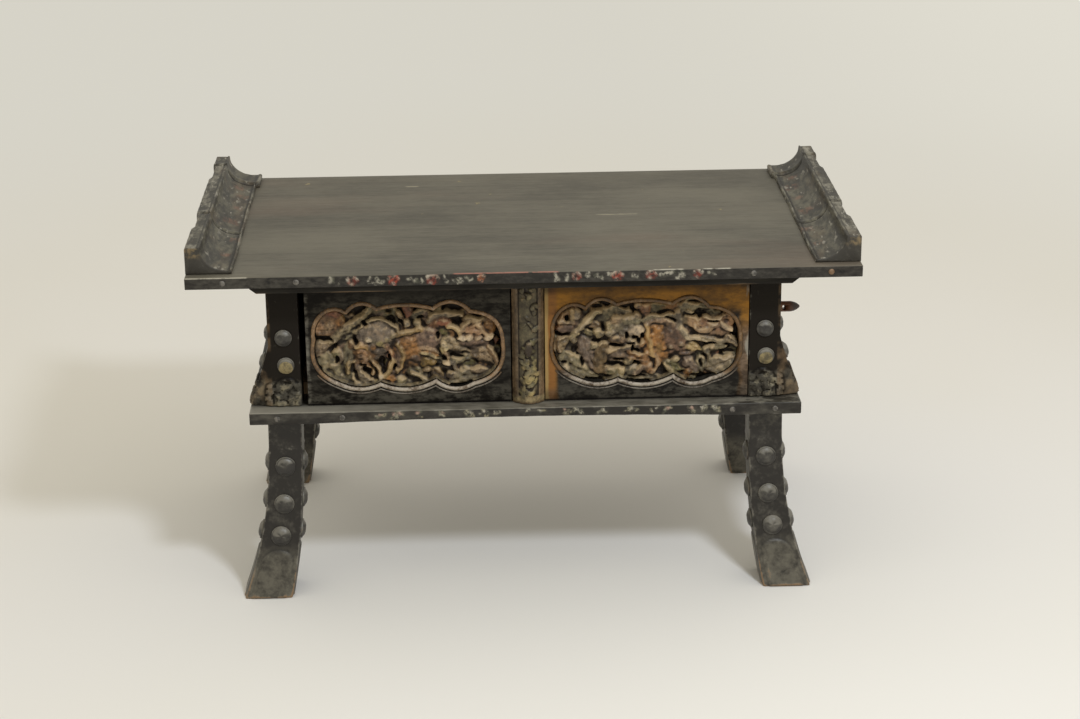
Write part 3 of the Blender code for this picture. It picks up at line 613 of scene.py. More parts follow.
def lobed_outline(grow):
    """Points round a drawer's opening, moved outwards by grow, in metres from its middle."""
    stretch = np.array(OPENING_HALF) / np.array(DRAWN_HALF)
    points = []
    for (x0, z0, rise), (x1, z1, _) in zip(LOBES, LOBES[1:] + LOBES[:1]):
        start = np.array((x0, z0), float)
        chord = np.array((x1, z1), float) - start
        outward = np.array((-chord[1], chord[0])) / np.hypot(*chord)
        for step in range(LOBE_STEPS):
            share = step / LOBE_STEPS
            points.append((start + chord * share + outward * rise * 4 * share * (1 - share)) * stretch)
    points = np.array(points)
    along = np.roll(points, -1, axis=0) - np.roll(points, 1, axis=0)
    normal = np.stack([-along[:, 1], along[:, 0]], axis=1) / np.hypot(*along.T)[:, None]
    moved = points + normal * grow
    gaps = np.hypot(*(moved[:, None, :] - points[None, :, :]).transpose(2, 0, 1)).min(axis=1)
    return moved[gaps >= abs(grow) * 0.97]


def ripple(u, w, seed, shortest, longest):
    """A smooth uneven field about 0, about 1 high, from waves of many lengths and turns."""
    chance = np.random.default_rng(seed)
    total = np.zeros(u.shape)
    for _ in range(WAVES):
        turn = chance.uniform(0, 2 * math.pi)
        rate = 2 * math.pi / chance.uniform(shortest, longest)
        total += np.sin(rate * (u * math.cos(turn) + w * math.sin(turn)) + chance.uniform(0, 2 * math.pi))
    return total / 5.3


def depth_inside(x, z, outline):
    """Distance of points from a closed outline, positive inside it."""
    ends = np.roll(outline, -1, axis=0)
    nearest = np.full(x.shape, np.inf)
    odd = np.zeros(x.shape, bool)
    for (ax, az), (bx, bz) in zip(outline, ends):
        along = np.array((bx - ax, bz - az))
        part = unit(((x - ax) * along[0] + (z - az) * along[1]) / (along @ along))
        nearest = np.minimum(nearest, np.hypot(x - ax - part * along[0], z - az - part * along[1]))
        if az != bz:
            odd ^= ((az > z) != (bz > z)) & (x < ax + (bx - ax) * (z - az) / (bz - az))
    return np.where(odd, nearest, -nearest)


def carved_paint(name, hue, shade_share=1, worn=1):
    """Faded paint on carved wood: painted shade in the hollows and under forms, rubbed pale on the ridges,
    painted highlight on upper faces.
    """
    finish = Finish(name, 0.35)
    noise, step, mix = finish.makers
    paint = finish.attribute("paint", "Color")
    wear_and_highlight = finish.attribute("wear_and_highlight")
    hollow = finish.attribute("hollow")
    cloud = noise(55, 5)
    scuff = noise(330, 5, shift=(0.4, 0.1, 0.8), roughness=0.65)
    streak = noise(900, 3, stretch=(1, 1, 0.25), shift=(0.2, 0.6, 0.3))
    patch = noise(140, 5, shift=(0.9, 0.3, 0.5), roughness=0.6)
    shade = step(cloud * 0.35 + patch * 0.35 + scuff * 0.3, 0.38, 0.66)
    dark = finish.node("ShaderNodeVectorMath", {"operation": "SCALE"}, paint, Scale=0.28)
    light = finish.node("ShaderNodeVectorMath", {"operation": "MULTIPLY"}, paint, (1.2, 1.09, 0.86))
    dark = mix(0.45, dark, (0.042, 0.022, 0.007))
    colour = mix(shade, dark, light)
    bare = step(scuff + (cloud - 0.5) * 0.8, 0.58, 0.68)
    colour = mix(bare * 0.35, colour, mixed(hue.bead, hue.bare, 0.6))
    # Ridges rubbed pale, and a painted highlight where faces turn up.
    rubbed = step(wear_and_highlight * worn + (scuff - 0.5) * 0.7 + (patch - 0.5) * 0.5, 0.28, 0.9)
    colour = mix(rubbed * 0.54, colour, (0.5, 0.365, 0.205))
    # Painted shade in the hollows and under the forms.
    painted_shade = step(hollow * shade_share + (cloud - 0.5) * 0.15 + (patch - 0.5) * 0.1, 0.04, 0.46)
    colour = mix(painted_shade * 0.96, colour, (0.012, 0.007, 0.004))
    return finish.done(colour, 0.44 + painted_shade * 0.25 + shade * 0.1, scuff * 0.5 + streak * 0.35, 0.0005, 0.6)


def table_settings(context):
    return context.scene.reading_table


class READING_OT_camera(bpy.types.Operator):
    """Place the camera where the photograph was taken from"""
    bl_idname = "reading.camera"
    bl_label = "Camera"

    def execute(self, context):
        data = bpy.data.cameras.new("camera")
        data.sensor_width = SENSOR_WIDTH
        data.lens = LENS_PIXELS / PHOTO_WIDTH * SENSOR_WIDTH
        camera = placed("camera", data)
        yaw, pitch, roll = CAMERA_TURNS
        ahead = Vector((math.sin(yaw) * math.cos(pitch), math.cos(yaw) * math.cos(pitch), -math.sin(pitch)))
        right = Vector((math.cos(yaw), -math.sin(yaw), 0))
        up = right.cross(ahead)
        turned_right = right * math.cos(roll) + up * math.sin(roll)
        turned_up = up * math.cos(roll) - right * math.sin(roll)
        turn = Matrix((turned_right, turned_up, -ahead)).transposed().to_4x4()
        camera.matrix_world = Matrix.Translation(CAMERA_PLACE) @ turn
        context.scene.camera = camera
        return {"FINISHED"}


def seen_rays(tree):
    """1 for the rays that show the background: those of the camera, of mirrors and of glass."""
    rays = tree.nodes.new("ShaderNodeLightPath")
    share = rays.outputs["Is Camera Ray"]
    for name in ("Is Glossy Ray", "Is Transmission Ray"):
        either = tree.nodes.new("ShaderNodeMath")
        either.operation = "MAXIMUM"
        tree.links.new(share, either.inputs[0])
        tree.links.new(rays.outputs[name], either.inputs[1])
        share = either.outputs[0]
    return share


class READING_OT_stage(bpy.types.Operator):
    """Lay the pale floor and set up the studio light"""
    bl_idname = "reading.stage"
    bl_label = "Stage"

    def execute(self, context):
        settings = table_settings(context).stage
        context.scene.view_settings.view_transform = "Standard"
        self.lay_floor(settings)
        self.hang_lamp(settings)
        self.fill_world(context, settings)
        return {"FINISHED"}

    def lay_floor(self, settings):
        bm = bmesh.new()
        bmesh.ops.create_circle(bm, cap_ends=True, segments=96, radius=FLOOR_RADIUS)
        mesh = bpy.data.meshes.new("floor")
        bm.to_mesh(mesh)
        bm.free()
        floor = placed("floor", mesh)
        finish = Finish("floor", 0.1)
        noise, step, mix = finish.makers
        finish.set("Roughness", 0.85)
        spot = finish.place((1, 1, 0))
        cloud = noise(1.1, 2)
        worn = mixed(settings.floor, settings.backdrop, 0.25)
        finish.set("Base Color", mix(step(cloud, 0.35, 0.65), settings.floor, worn))
        away = finish.node("ShaderNodeVectorMath", {"operation": "LENGTH"}, spot, out="Value")
        side = finish.axes()[0]
        # The backdrop's glow is darker towards the left: painted shade.
        shown = mix(step(side, 0.1, 1.3), mixed(settings.backdrop, BLACK, 0.1), settings.backdrop)
        glow = finish.node("ShaderNodeEmission", {}, shown, 1)
        share = step(away, 0.6, 2) * Socket(finish, seen_rays(finish.tree))
        lit = Socket(finish, finish.shader.outputs[0])
        both = finish.node("ShaderNodeMixShader", {}, share, lit, glow)
        finish.tree.links.new(both.output, finish.tree.nodes["Material Output"].inputs["Surface"])
        floor.data.materials.append(finish.material)

    def hang_lamp(self, settings):
        data = bpy.data.lights.new("studio_lamp", "AREA")
        data.shape = "DISK"
        data.size = settings.width
        data.energy = settings.power
        data.color = settings.lamp
        lamp = placed("studio_lamp", data)
        spot = Vector(LAMP_PLACE)
        lamp.location = spot
        lamp.rotation_euler = (spot - Vector(LAMP_AIM)).to_track_quat("Z", "Y").to_euler()

    def fill_world(self, context, settings):
        world = bpy.data.worlds.new("studio")
        world.use_nodes = True
        context.scene.world = world
        tree = world.node_tree
        light = tree.nodes["Background"]
        light.inputs["Color"].default_value = (*settings.fill, 1)
        shown = tree.nodes.new("ShaderNodeBackground")
        shown.inputs["Color"].default_value = (*settings.backdrop, 1)
        both = tree.nodes.new("ShaderNodeMixShader")
        tree.links.new(seen_rays(tree), both.inputs[0])
        tree.links.new(light.outputs[0], both.inputs[1])
        tree.links.new(shown.outputs[0], both.inputs[2])
        tree.links.new(both.outputs[0], tree.nodes["World Output"].inputs["Surface"])


def along_edges(finish, low, high, width):
    """1 along the edges of a board, 0 further in than width."""
    return 1 - finish.step(finish.edge_of(low, high), 0, width)


def paint_edge(mesh, low, draw):
    """Store a pattern on the front edge of a board: its colours, and where paint covers the lacquer."""
    x, y, z = read(mesh.vertices, "co", 3).T
    relief = Relief(x / MM, (z - low.z) / MM, 0, (0, 0, 0))
    draw(relief)
    store(mesh, "paint", spread(mesh, relief.paint, 1))
    cover = np.where(y < low.y + 0.9 * MM, unit(relief.height), 0)
    store(mesh, "cover", spread(mesh, cover, 1))


def worn_pattern(finish, ground, scuff, left):
    """The painted pattern where it is left on the lacquer."""
    patch = finish.noise(150, 5, shift=(0.6, 0.2, 0.9), roughness=0.6)
    fade = finish.noise(420, 3, shift=(0.1, 0.5, 0.3))
    paint = finish.attribute("cover") - (scuff - 0.5) * 1.8 - (patch - 0.5) * 2.2
    shown = finish.step(paint, 0.7 - left, 1.3 - left) * finish.step(fade, 0.3, 0.62)
    return finish.mix(shown * 0.9, ground, finish.attribute("paint", "Color"))


class READING_OT_top(bpy.types.Operator):
    """Make the top board with the worn flower scroll on its front edge"""
    bl_idname = "reading.top"
    bl_label = "Top board"

    def execute(self, context):
        settings = table_settings(context)
        self.paint = settings.paint
        mesh = mesh_of("top", block(TOP_LOW, TOP_HIGH, (0.9 * MM, 9 * MM, 1.2 * MM), 0.7 * MM))
        paint_edge(mesh, TOP_LOW, self.scroll)
        piece("top_board_worn", mesh, self.lacquer(settings), "table", ["top_board"])
        return {"FINISHED"}

    def scroll(self, relief):
        """Blossoms and leaf sprays along the middle of the edge."""
        p = self.paint
        chance = np.random.default_rng(5)
        deep = mixed(p.red, SOOT, 0.5)
        orange = mixed(p.red, p.coat, 0.5)
        leaf = mixed(p.cream, p.leaf, 0.55)
        for place, size, tone in ((-152, 6.2, deep), (-116, 6.4, p.red), (-82, 7, deep), (-39, 5, orange),
                                  (46, 5.4, deep), (82, 6.2, p.red), (112, 6, deep), (153, 6.2, deep)):
            self.blossom(relief, (place, 6), size, tone, chance)
        shade = mixed(p.leaf, SHADE, 0.6)
        for place in (-168, -136, -130, -101, -94, -68, -60, -50, 28,
                      38, 58, 66, 73, 97, 124, 130, 138, 166):
            for number in range(5):
                middle = np.array((place, 5.8)) + chance.uniform((-4.5, -3), (4.5, 3))
                reach = heading(chance.uniform(0.2, math.pi - 0.2)) * chance.uniform(1.8, 3.6)
                tone = shade if number > 2 else mixed(leaf, p.cream, chance.uniform(0, 0.9))
                relief.leaf(sprig(chance, middle, reach, 0.8), chance.uniform(1, 1.9),
                            0.85 if number > 2 else 0.95, tone, 0.8, 0)

    def blossom(self, relief, centre, size, tone, chance):
        """Red petals low down, with pale ones over them."""
        for petal in range(5):
            turn = 2 * math.pi * petal / 5 + chance.uniform(-0.3, 0.3)
            place = np.array(centre) + 0.45 * size * heading(turn)
            dark = mixed(tone, SOOT, chance.uniform(0, 0.5))
            relief.dome(place, (0.5 * size, 0.46 * size), 0.9, dark, power=0.15)
        for turn in (25, 75, 120, 165, 260):
            turn = math.radians(turn + chance.uniform(-15, 15))
            place = np.array(centre) + 0.72 * size * np.array((math.cos(turn), 0.8 * math.sin(turn)))
            pale = mixed(self.paint.cream, self.paint.bloom, chance.uniform(0, 0.5))
            radii = (chance.uniform(0.2, 0.36) * size, chance.uniform(0.16, 0.26) * size)
            relief.dome(place, radii, 1, pale, power=0.15)

    def lacquer(self, settings):
        hue = settings.lacquer
        paint = settings.paint
        finish = Finish("top_lacquer", 0.36)
        noise, step, mix = finish.makers
        x, y, z = finish.axes()
        grain = noise(110, 6, (0.045, 1, 1), roughness=0.6)
        streak = noise(30, 4, (0.04, 1, 1), (0.2, 0.5, 0))
        cloud = noise(9, 5, (0.6, 1, 1))
        scuff = noise(260, 5, (0.5, 1, 1), (0.1, 0.9, 0.4), 0.65)
        dark = mixed(hue.top, hue.black, 0.62)
        light = mixed(hue.top, hue.bead, 0.42)
        pore = noise(420, 4, (0.12, 1, 1), (0.5, 0.1, 0.2), 0.7)
        colour = mix(step(grain * 0.22 + pore * 0.28 + cloud * 0.5, 0.34, 0.62), dark, hue.top)
        colour = mix(step(streak, 0.56, 0.74) * 0.16, colour, light)
        blush = noise(5, 4, (0.5, 1.6, 1), (0.8, 0.3, 0.1))
        colour = mix(step(blush, 0.54, 0.72) * 0.3, colour, mixed(hue.top, paint.rust, 0.3))
        chip = step(noise(60, 5, shift=(0.7, 0.3, 0.2)), 0.71, 0.74)
        colour = mix(chip * 0.6, colour, hue.scar)
        for start, end, depth, thick in TOP_MARKS:
            run = step(x, start, start + 4 * MM) * (1 - step(x, end - 4 * MM, end))
            away = abs(y - depth + (cloud - 0.5) * 0.006)
            mark = run * (1 - step(away + (scuff - 0.5) * 0.003, 0.4 * thick, thick))
            colour = mix(mark * 0.8, colour, mixed(hue.pale, hue.scar, 0.3))
        black = mix(step(scuff * 0.5 + cloud * 0.5, 0.42, 0.66), hue.black, mixed(hue.black, hue.grey, 0.6))
        black = worn_pattern(finish, black, scuff, 0.58)
        side = 1 - step(z, TOP_HIGH.z - 0.8 * MM, TOP_HIGH.z - 0.2 * MM)
        colour = mix(side, colour, black)
        # Lines along the top's front arris: at the left end a painted highlight, in the middle red lacquer
        # worn through, to the right pale worn lacquer.
        ahead = 1 - step(y, TOP_LOW.y + 0.6 * MM, TOP_LOW.y + 2 * MM)
        arris = step(z, TOP_HIGH.z - 1 * MM, TOP_HIGH.z - 0.4 * MM) * ahead
        cream = paint.cream
        for start, end, tone in ((-0.3, -0.245, cream), (-0.063, 0.03, mixed(paint.red, cream, 0.3)),
                                 (0.114, 0.14, cream), (0.158, 0.166, cream), (0.169, 0.182, cream)):
            run = step(x, start - 1.5 * MM, start + 1.5 * MM) * (1 - step(x, end - 1.5 * MM, end + 1.5 * MM))
            colour = mix(run * arris * step(scuff, 0.34, 0.5) * 0.75, colour, tone)
        return finish.done(colour, 0.5 + scuff * 0.16 - side * 0.08,
                           grain * 0.25 + scuff * 0.4 + cloud * 0.4, 0.0006, 0.5)


class READING_OT_plain_boards(bpy.types.Operator):
    """Finish the rails, the panels of the case and the wood inside"""
    bl_idname = "reading.plain_boards"
    bl_label = "Rails, case and drawer boxes"

    def execute(self, context):
        hue = table_settings(context).lacquer
        wide = ["under_rail_front", "under_rail_back", "back_panel"]
        deep = ["under_rail_left", "under_rail_right", "end_panel_left", "end_panel_right"]
        for node in wide + deep:
            self.lacquer(node, hue, (0.12, 1, 1) if node in wide else (1, 0.12, 1))
        inside = ("drawer_guide", "centre_partition", "left_drawer_side", "left_drawer_b",
                  "right_drawer_side", "right_drawer_b")
        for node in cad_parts:
            if node.startswith(inside):
                self.wood(node, hue)
        return {"FINISHED"}

    def lacquer(self, node, hue, grain):
        finish = Finish(node + "_finish", 0.12)
        noise, step, mix = finish.makers
        edge = along_edges(finish, *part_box(node), 0.003)
        cloud = noise(22, 6, grain)
        scuff = noise(170, 6, grain, (0.3, 0.7, 0.1), 0.65)
        dull = step(cloud * 0.6 + scuff * 0.4, 0.42, 0.66)
        colour = mix(dull, mixed(hue.black, BLACK, 0.4), mixed(hue.black, hue.grey, 0.3))
        rubbed = step(edge + (scuff - 0.5) * 1.6 + (cloud - 0.5) * 1.8, 0.95, 1.35)
        colour = mix(rubbed * 0.6, colour, hue.bare)
        height = scuff * 0.6 + cloud * 0.4
        paint_node(node, finish.done(colour, 0.42 + dull * 0.16, height, 0.0005, 0.5))

    def wood(self, node, hue):
        low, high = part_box(node)
        size = high - low
        longest = max(range(3), key=lambda axis: size[axis])
        grain = tuple(0.05 if axis == longest else 1 for axis in range(3))
        finish = Finish(node + "_wood")
        noise, step, mix = finish.makers
        rings = noise(120, 5, grain, roughness=0.6)
        broad = noise(26, 3, grain, (0.5, 0.2, 0.7))
        fine = noise(900, 3, grain)
        colour = mix(step(rings * 0.6 + broad * 0.4, 0.36, 0.64),
                     mixed(hue.inner, hue.black, 0.45), hue.inner)
        edge = along_edges(finish, low, high, 0.003)
        colour = mix(step(edge + (broad - 0.5), 0.6, 1.1) * 0.6, colour, mixed(hue.inner, hue.black, 0.6))
        height = rings * 0.6 + fine * 0.3
        paint_node(node, finish.done(colour, 0.56 + rings * 0.2, height, 0.0004, 0.6))


def foot_share(z):
    return unit((LEG_HEAD - z) / LEG_HEAD) ** FOOT_POWER


def leg_face(start, reach):
    """A face of a leg by the height: where it is at the head, and how far its foot curves out."""
    return lambda z: start + foot_share(z) * reach


def post_flare(z):
    left = unit(1 - (z - POST_FOOT) / POST_FLARE_HEIGHT)
    return POST_FLARE * left ** POST_FLARE_POWER


def post_face(z):
    return POST_OUTER + post_flare(z)


def slope(curve, z):
    step = 0.0005
    return (curve(z + step) - curve(z - step)) / (2 * step)


def corner_places():
    """The four corners: a name and the mirror that takes the front right one there."""
    for end, front in ENDS.items():
        for side, right in SIDES.items():
            yield end + "_" + side, Matrix.Diagonal((right, -front, 1, 1))


def mirrored(mesh, name, mirror):
    """A copy of a mesh, mirrored to another corner with its faces outwards."""
    copy = mesh.copy()
    copy.name = name
    bm = bmesh.new()
    bm.from_mesh(copy)
    bmesh.ops.transform(bm, matrix=mirror, verts=bm.verts[:])
    if mirror.determinant() < 0:
        bmesh.ops.reverse_faces(bm, faces=bm.faces[:])
    bm.to_mesh(copy)
    bm.free()
    return copy


def at_corners(name, node, mesh, material):
    """Put a piece made for the front right corner at all four, in place of a solid at each."""
    for corner, mirror in corner_places():
        copy = mirrored(mesh, name + corner, mirror)
        piece(name + corner, copy, material, "table", [node + corner])


def carve_face(face, u, w, draw):
    """The heights that a drawing gives to the points of one face, in millimetres."""
    relief = Relief(u[face] / MM, w[face] / MM, 0, BLACK)
    draw(relief)
    heights = np.zeros(face.size)
    heights[face] = relief.height
    return heights


def carved_lacquer(name, hue, grey, gloss, worn_and_lit_foot=0, worn_and_sheen_base=0, with_sheen=False):
    """Old lacquer that wears and darkens in its hollows by the shape of its mesh, and up to some heights is
    thin, with painted light.
    """
    finish = Finish(name, gloss)
    noise, step, mix = finish.makers
    x, _, height = finish.axes()
    wear_and_highlight = finish.attribute("wear_and_highlight")
    hollow = finish.attribute("hollow")
    cloud = noise(26, 6)
    blotch = noise(95, 5, shift=(0.8, 0.4, 0.6), roughness=0.6)
    scuff = noise(240, 6, shift=(0.3, 0.7, 0.1), roughness=0.65)
    fine = noise(900, 3, shift=(0.9, 0.2, 0.5))
    mottle = cloud * 0.3 + blotch * 0.4 + scuff * 0.3
    # Up to the base height the lacquer is painted greyer and paler in patches: worn lacquer, and a painted
    # sheen on the post's base.
    if worn_and_sheen_base:
        low = 1 - step(height + (blotch - 0.5) * 0.02, worn_and_sheen_base - 0.012, worn_and_sheen_base)
        mottle = mottle + low * 0.24
    dull = step(mottle, 0.62 - 0.36 * grey, 0.84 - 0.36 * grey)
    colour = mix(dull, hue.black, hue.grey)
    # Up to the foot height the lacquer is painted a lighter grey in patches: worn lacquer, and painted light
    # where the feet turn up.
    if worn_and_lit_foot:
        flat = 1 - step(height + (blotch - 0.5) * 0.03, worn_and_lit_foot - 0.012, worn_and_lit_foot + 0.004)
        colour = mix(flat * step(blotch * 0.6 + scuff * 0.4, 0.28, 0.62) * 0.85, colour,
                     mixed(hue.grey, hue.top, 0.75))
    shine = step(wear_and_highlight + (scuff - 0.5) * 1.4 + (blotch - 0.5) * 2.4, 0.5, 1.1)
    colour = mix(shine * 0.6, colour, mixed(hue.grey, hue.pale, 0.6))
    rubbed = step(wear_and_highlight + (blotch - 0.5) * 2.4 + (cloud - 0.5) * 2, 1, 1.45)
    colour = mix(rubbed * 0.6, colour, hue.bare)
    if worn_and_lit_foot:
        low = 1 - step(height + (blotch - 0.5) * 0.05, 0.7 * worn_and_lit_foot - 0.01, 0.7 * worn_and_lit_foot)
        bare = low * step(wear_and_highlight + (scuff - 0.5) * 0.9 + (blotch - 0.5) * 2.2, 0.55, 0.95)
        colour = mix(bare * 0.6, colour, mixed(hue.bare, hue.ochre, 0.3))
    if worn_and_sheen_base:
        speck = low * step(scuff * 0.35 + blotch * 0.65, 0.5, 0.62)
        colour = mix(speck * 0.5, colour, mixed(hue.scar, hue.pale, 0.5))
        side = step(abs(x), POST_OUTER - 3.5 * MM, POST_OUTER - 1.5 * MM)
        brown = side * step(blotch * 0.5 + cloud * 0.5 + low * 0.05, 0.46, 0.62)
        colour = mix(brown * 0.55, colour, mixed(hue.bare, hue.grey, 0.3))
    # A painted sheen on faces that turn up and painted shade on faces that turn down.
    if with_sheen:
        painted_sheen = step(finish.attribute("painted_sheen") + (blotch - 0.5) * 1.2, 0.25, 0.9)
        colour = mix(painted_sheen * 0.7, colour, mixed(hue.grey, hue.pale, 0.4))
        colour = mix(finish.attribute("shade") * 0.7, colour, hue.black)
    colour = mix(step(hollow, 0.05, 0.6) * 0.9, colour, mixed(hue.black, BLACK, 0.5))
    return finish.done(colour, 0.38 + dull * 0.2, scuff * 0.6 + fine * 0.25 + blotch * 0.5, 0.0007, 0.6)


class READING_OT_posts(bpy.types.Operator):
    """Carve the four upper posts with the foliage on their bases"""
    bl_idname = "reading.posts"
    bl_label = "Upper posts"

    def execute(self, context):
        settings = table_settings(context)
        sizes = settings.sizes
        bm = block((POST_INNER, -POST_FRONT, POST_FOOT), (POST_OUTER, -POST_BACK, POST_HEAD),
                   (sizes.net * 0.55,) * 3, sizes.edge * 0.7)
        mesh = mesh_of("post", bm, 180)
        spots, x, y, z = points_of(mesh)
        front = y < -POST_FRONT + FLUSH
        outer = x > POST_OUTER - FLUSH
        width = POST_OUTER - POST_INNER
        strip = width - POST_WING
        share = (x - POST_INNER) / width
        wing = unit((share - 0.7) / 0.3)
        across = unit(share / 0.7) * strip + wing * (POST_WING + post_flare(z))
        rise_front = carve_face(front, across - strip / 2, z - POST_FOOT, self.foliage)
        rise_outer = carve_face(outer, y + MIDDLE_DEPTH, z - POST_FOOT, self.foliage)
        ahead = unit((-POST_BACK - y) / (POST_FRONT - POST_BACK))
        slant = wing * (1.2 * MM + 0.22 * post_flare(z)) * ahead
        spots[:, 0] = POST_INNER + across + rise_outer * MM
        spots[:, 1] = y + slant - rise_front * MM
        write_spots(mesh, spots)
        weather(mesh, 8, 0.0011)
        material = carved_lacquer("post_lacquer", settings.lacquer, 0.1, 0.06, worn_and_sheen_base=0.212)
        at_corners("post_", "upper_post_", mesh, material)
        return {"FINISHED"}

    def foliage(self, relief):
        """A rounded arch over a spray of leaves, drawn from the middle of the post's foot."""
        chance = np.random.default_rng(2)
        relief.dome((0, 6), (12.5, 20), 1, BLACK, power=0.3)
        relief.arc((0, 12), (9.5, 14), (25, 155), 1.8, 2.2, BLACK)
        for w in (2.5, 8.5, 14.5, 20):
            for u in (-9, -3, 3, 9, 15):
                middle = np.array((u, w)) + chance.uniform(-1.6, 1.6, 2)
                reach = heading(chance.uniform(0.3, 2.8)) * chance.uniform(3, 5)
                relief.leaf(sprig(chance, middle, reach, 1.2), chance.uniform(2, 3.2),
                            chance.uniform(1.6, 3), BLACK, 0.75, 2)


class READING_OT_legs(bpy.types.Operator):
    """Shape the four lower legs with the tongue on each foot"""
    bl_idname = "reading.legs"
    bl_label = "Lower legs"

    def execute(self, context):
        settings = table_settings(context)
        sizes = settings.sizes
        bm = block((LEG_INNER, -POST_FRONT, 0), (LEG_OUTER, -POST_BACK, LEG_HEAD),
                   (sizes.net * 0.8,) * 3, sizes.edge)
        mesh = mesh_of("leg", bm, 180)
        spots, x, y, z = points_of(mesh)
        middle = (LEG_INNER + LEG_OUTER) / 2
        rise_front = carve_face(y < -POST_FRONT + FLUSH, x - middle, z, self.tongue)
        rise_outer = carve_face(x > LEG_OUTER - FLUSH, y + MIDDLE_DEPTH, z, self.tongue)
        rise_inner = carve_face(x < LEG_INNER + FLUSH, y + MIDDLE_DEPTH, z, self.tongue)
        share = foot_share(z)
        across = (x - LEG_INNER) / (LEG_OUTER - LEG_INNER)
        back = (y + POST_FRONT) / (POST_FRONT - POST_BACK)
        spots[:, 0] = x + share * (FOOT_IN + across * (FOOT_OUT - FOOT_IN)) + (rise_outer - rise_inner) * MM
        spots[:, 1] = y - share * (FOOT_FRONT + back * (FOOT_BACK - FOOT_FRONT)) - rise_front * MM
        write_spots(mesh, spots)
        weather(mesh, 10, 0.0009)
        material = carved_lacquer("leg_lacquer", settings.lacquer, 0.42, 0.4, worn_and_lit_foot=0.046)
        at_corners("leg_", "lower_leg_", mesh, material)
        return {"FINISHED"}

    def tongue(self, relief):
        """A broad tongue with a rounded head that runs down to the foot, and a shallow sill above it."""
        half = 12
        head = 31
        away = np.where(relief.w > head, np.hypot(relief.u, relief.w - head), np.abs(relief.u))
        relief.height = np.maximum(relief.height, 1.3 * unit((half - away) / 1.6))
        sill = np.abs(relief.w - 139 + 0.02 * relief.u ** 2)
        relief.height += 0.5 * np.exp(-(sill / 1.6) ** 2)


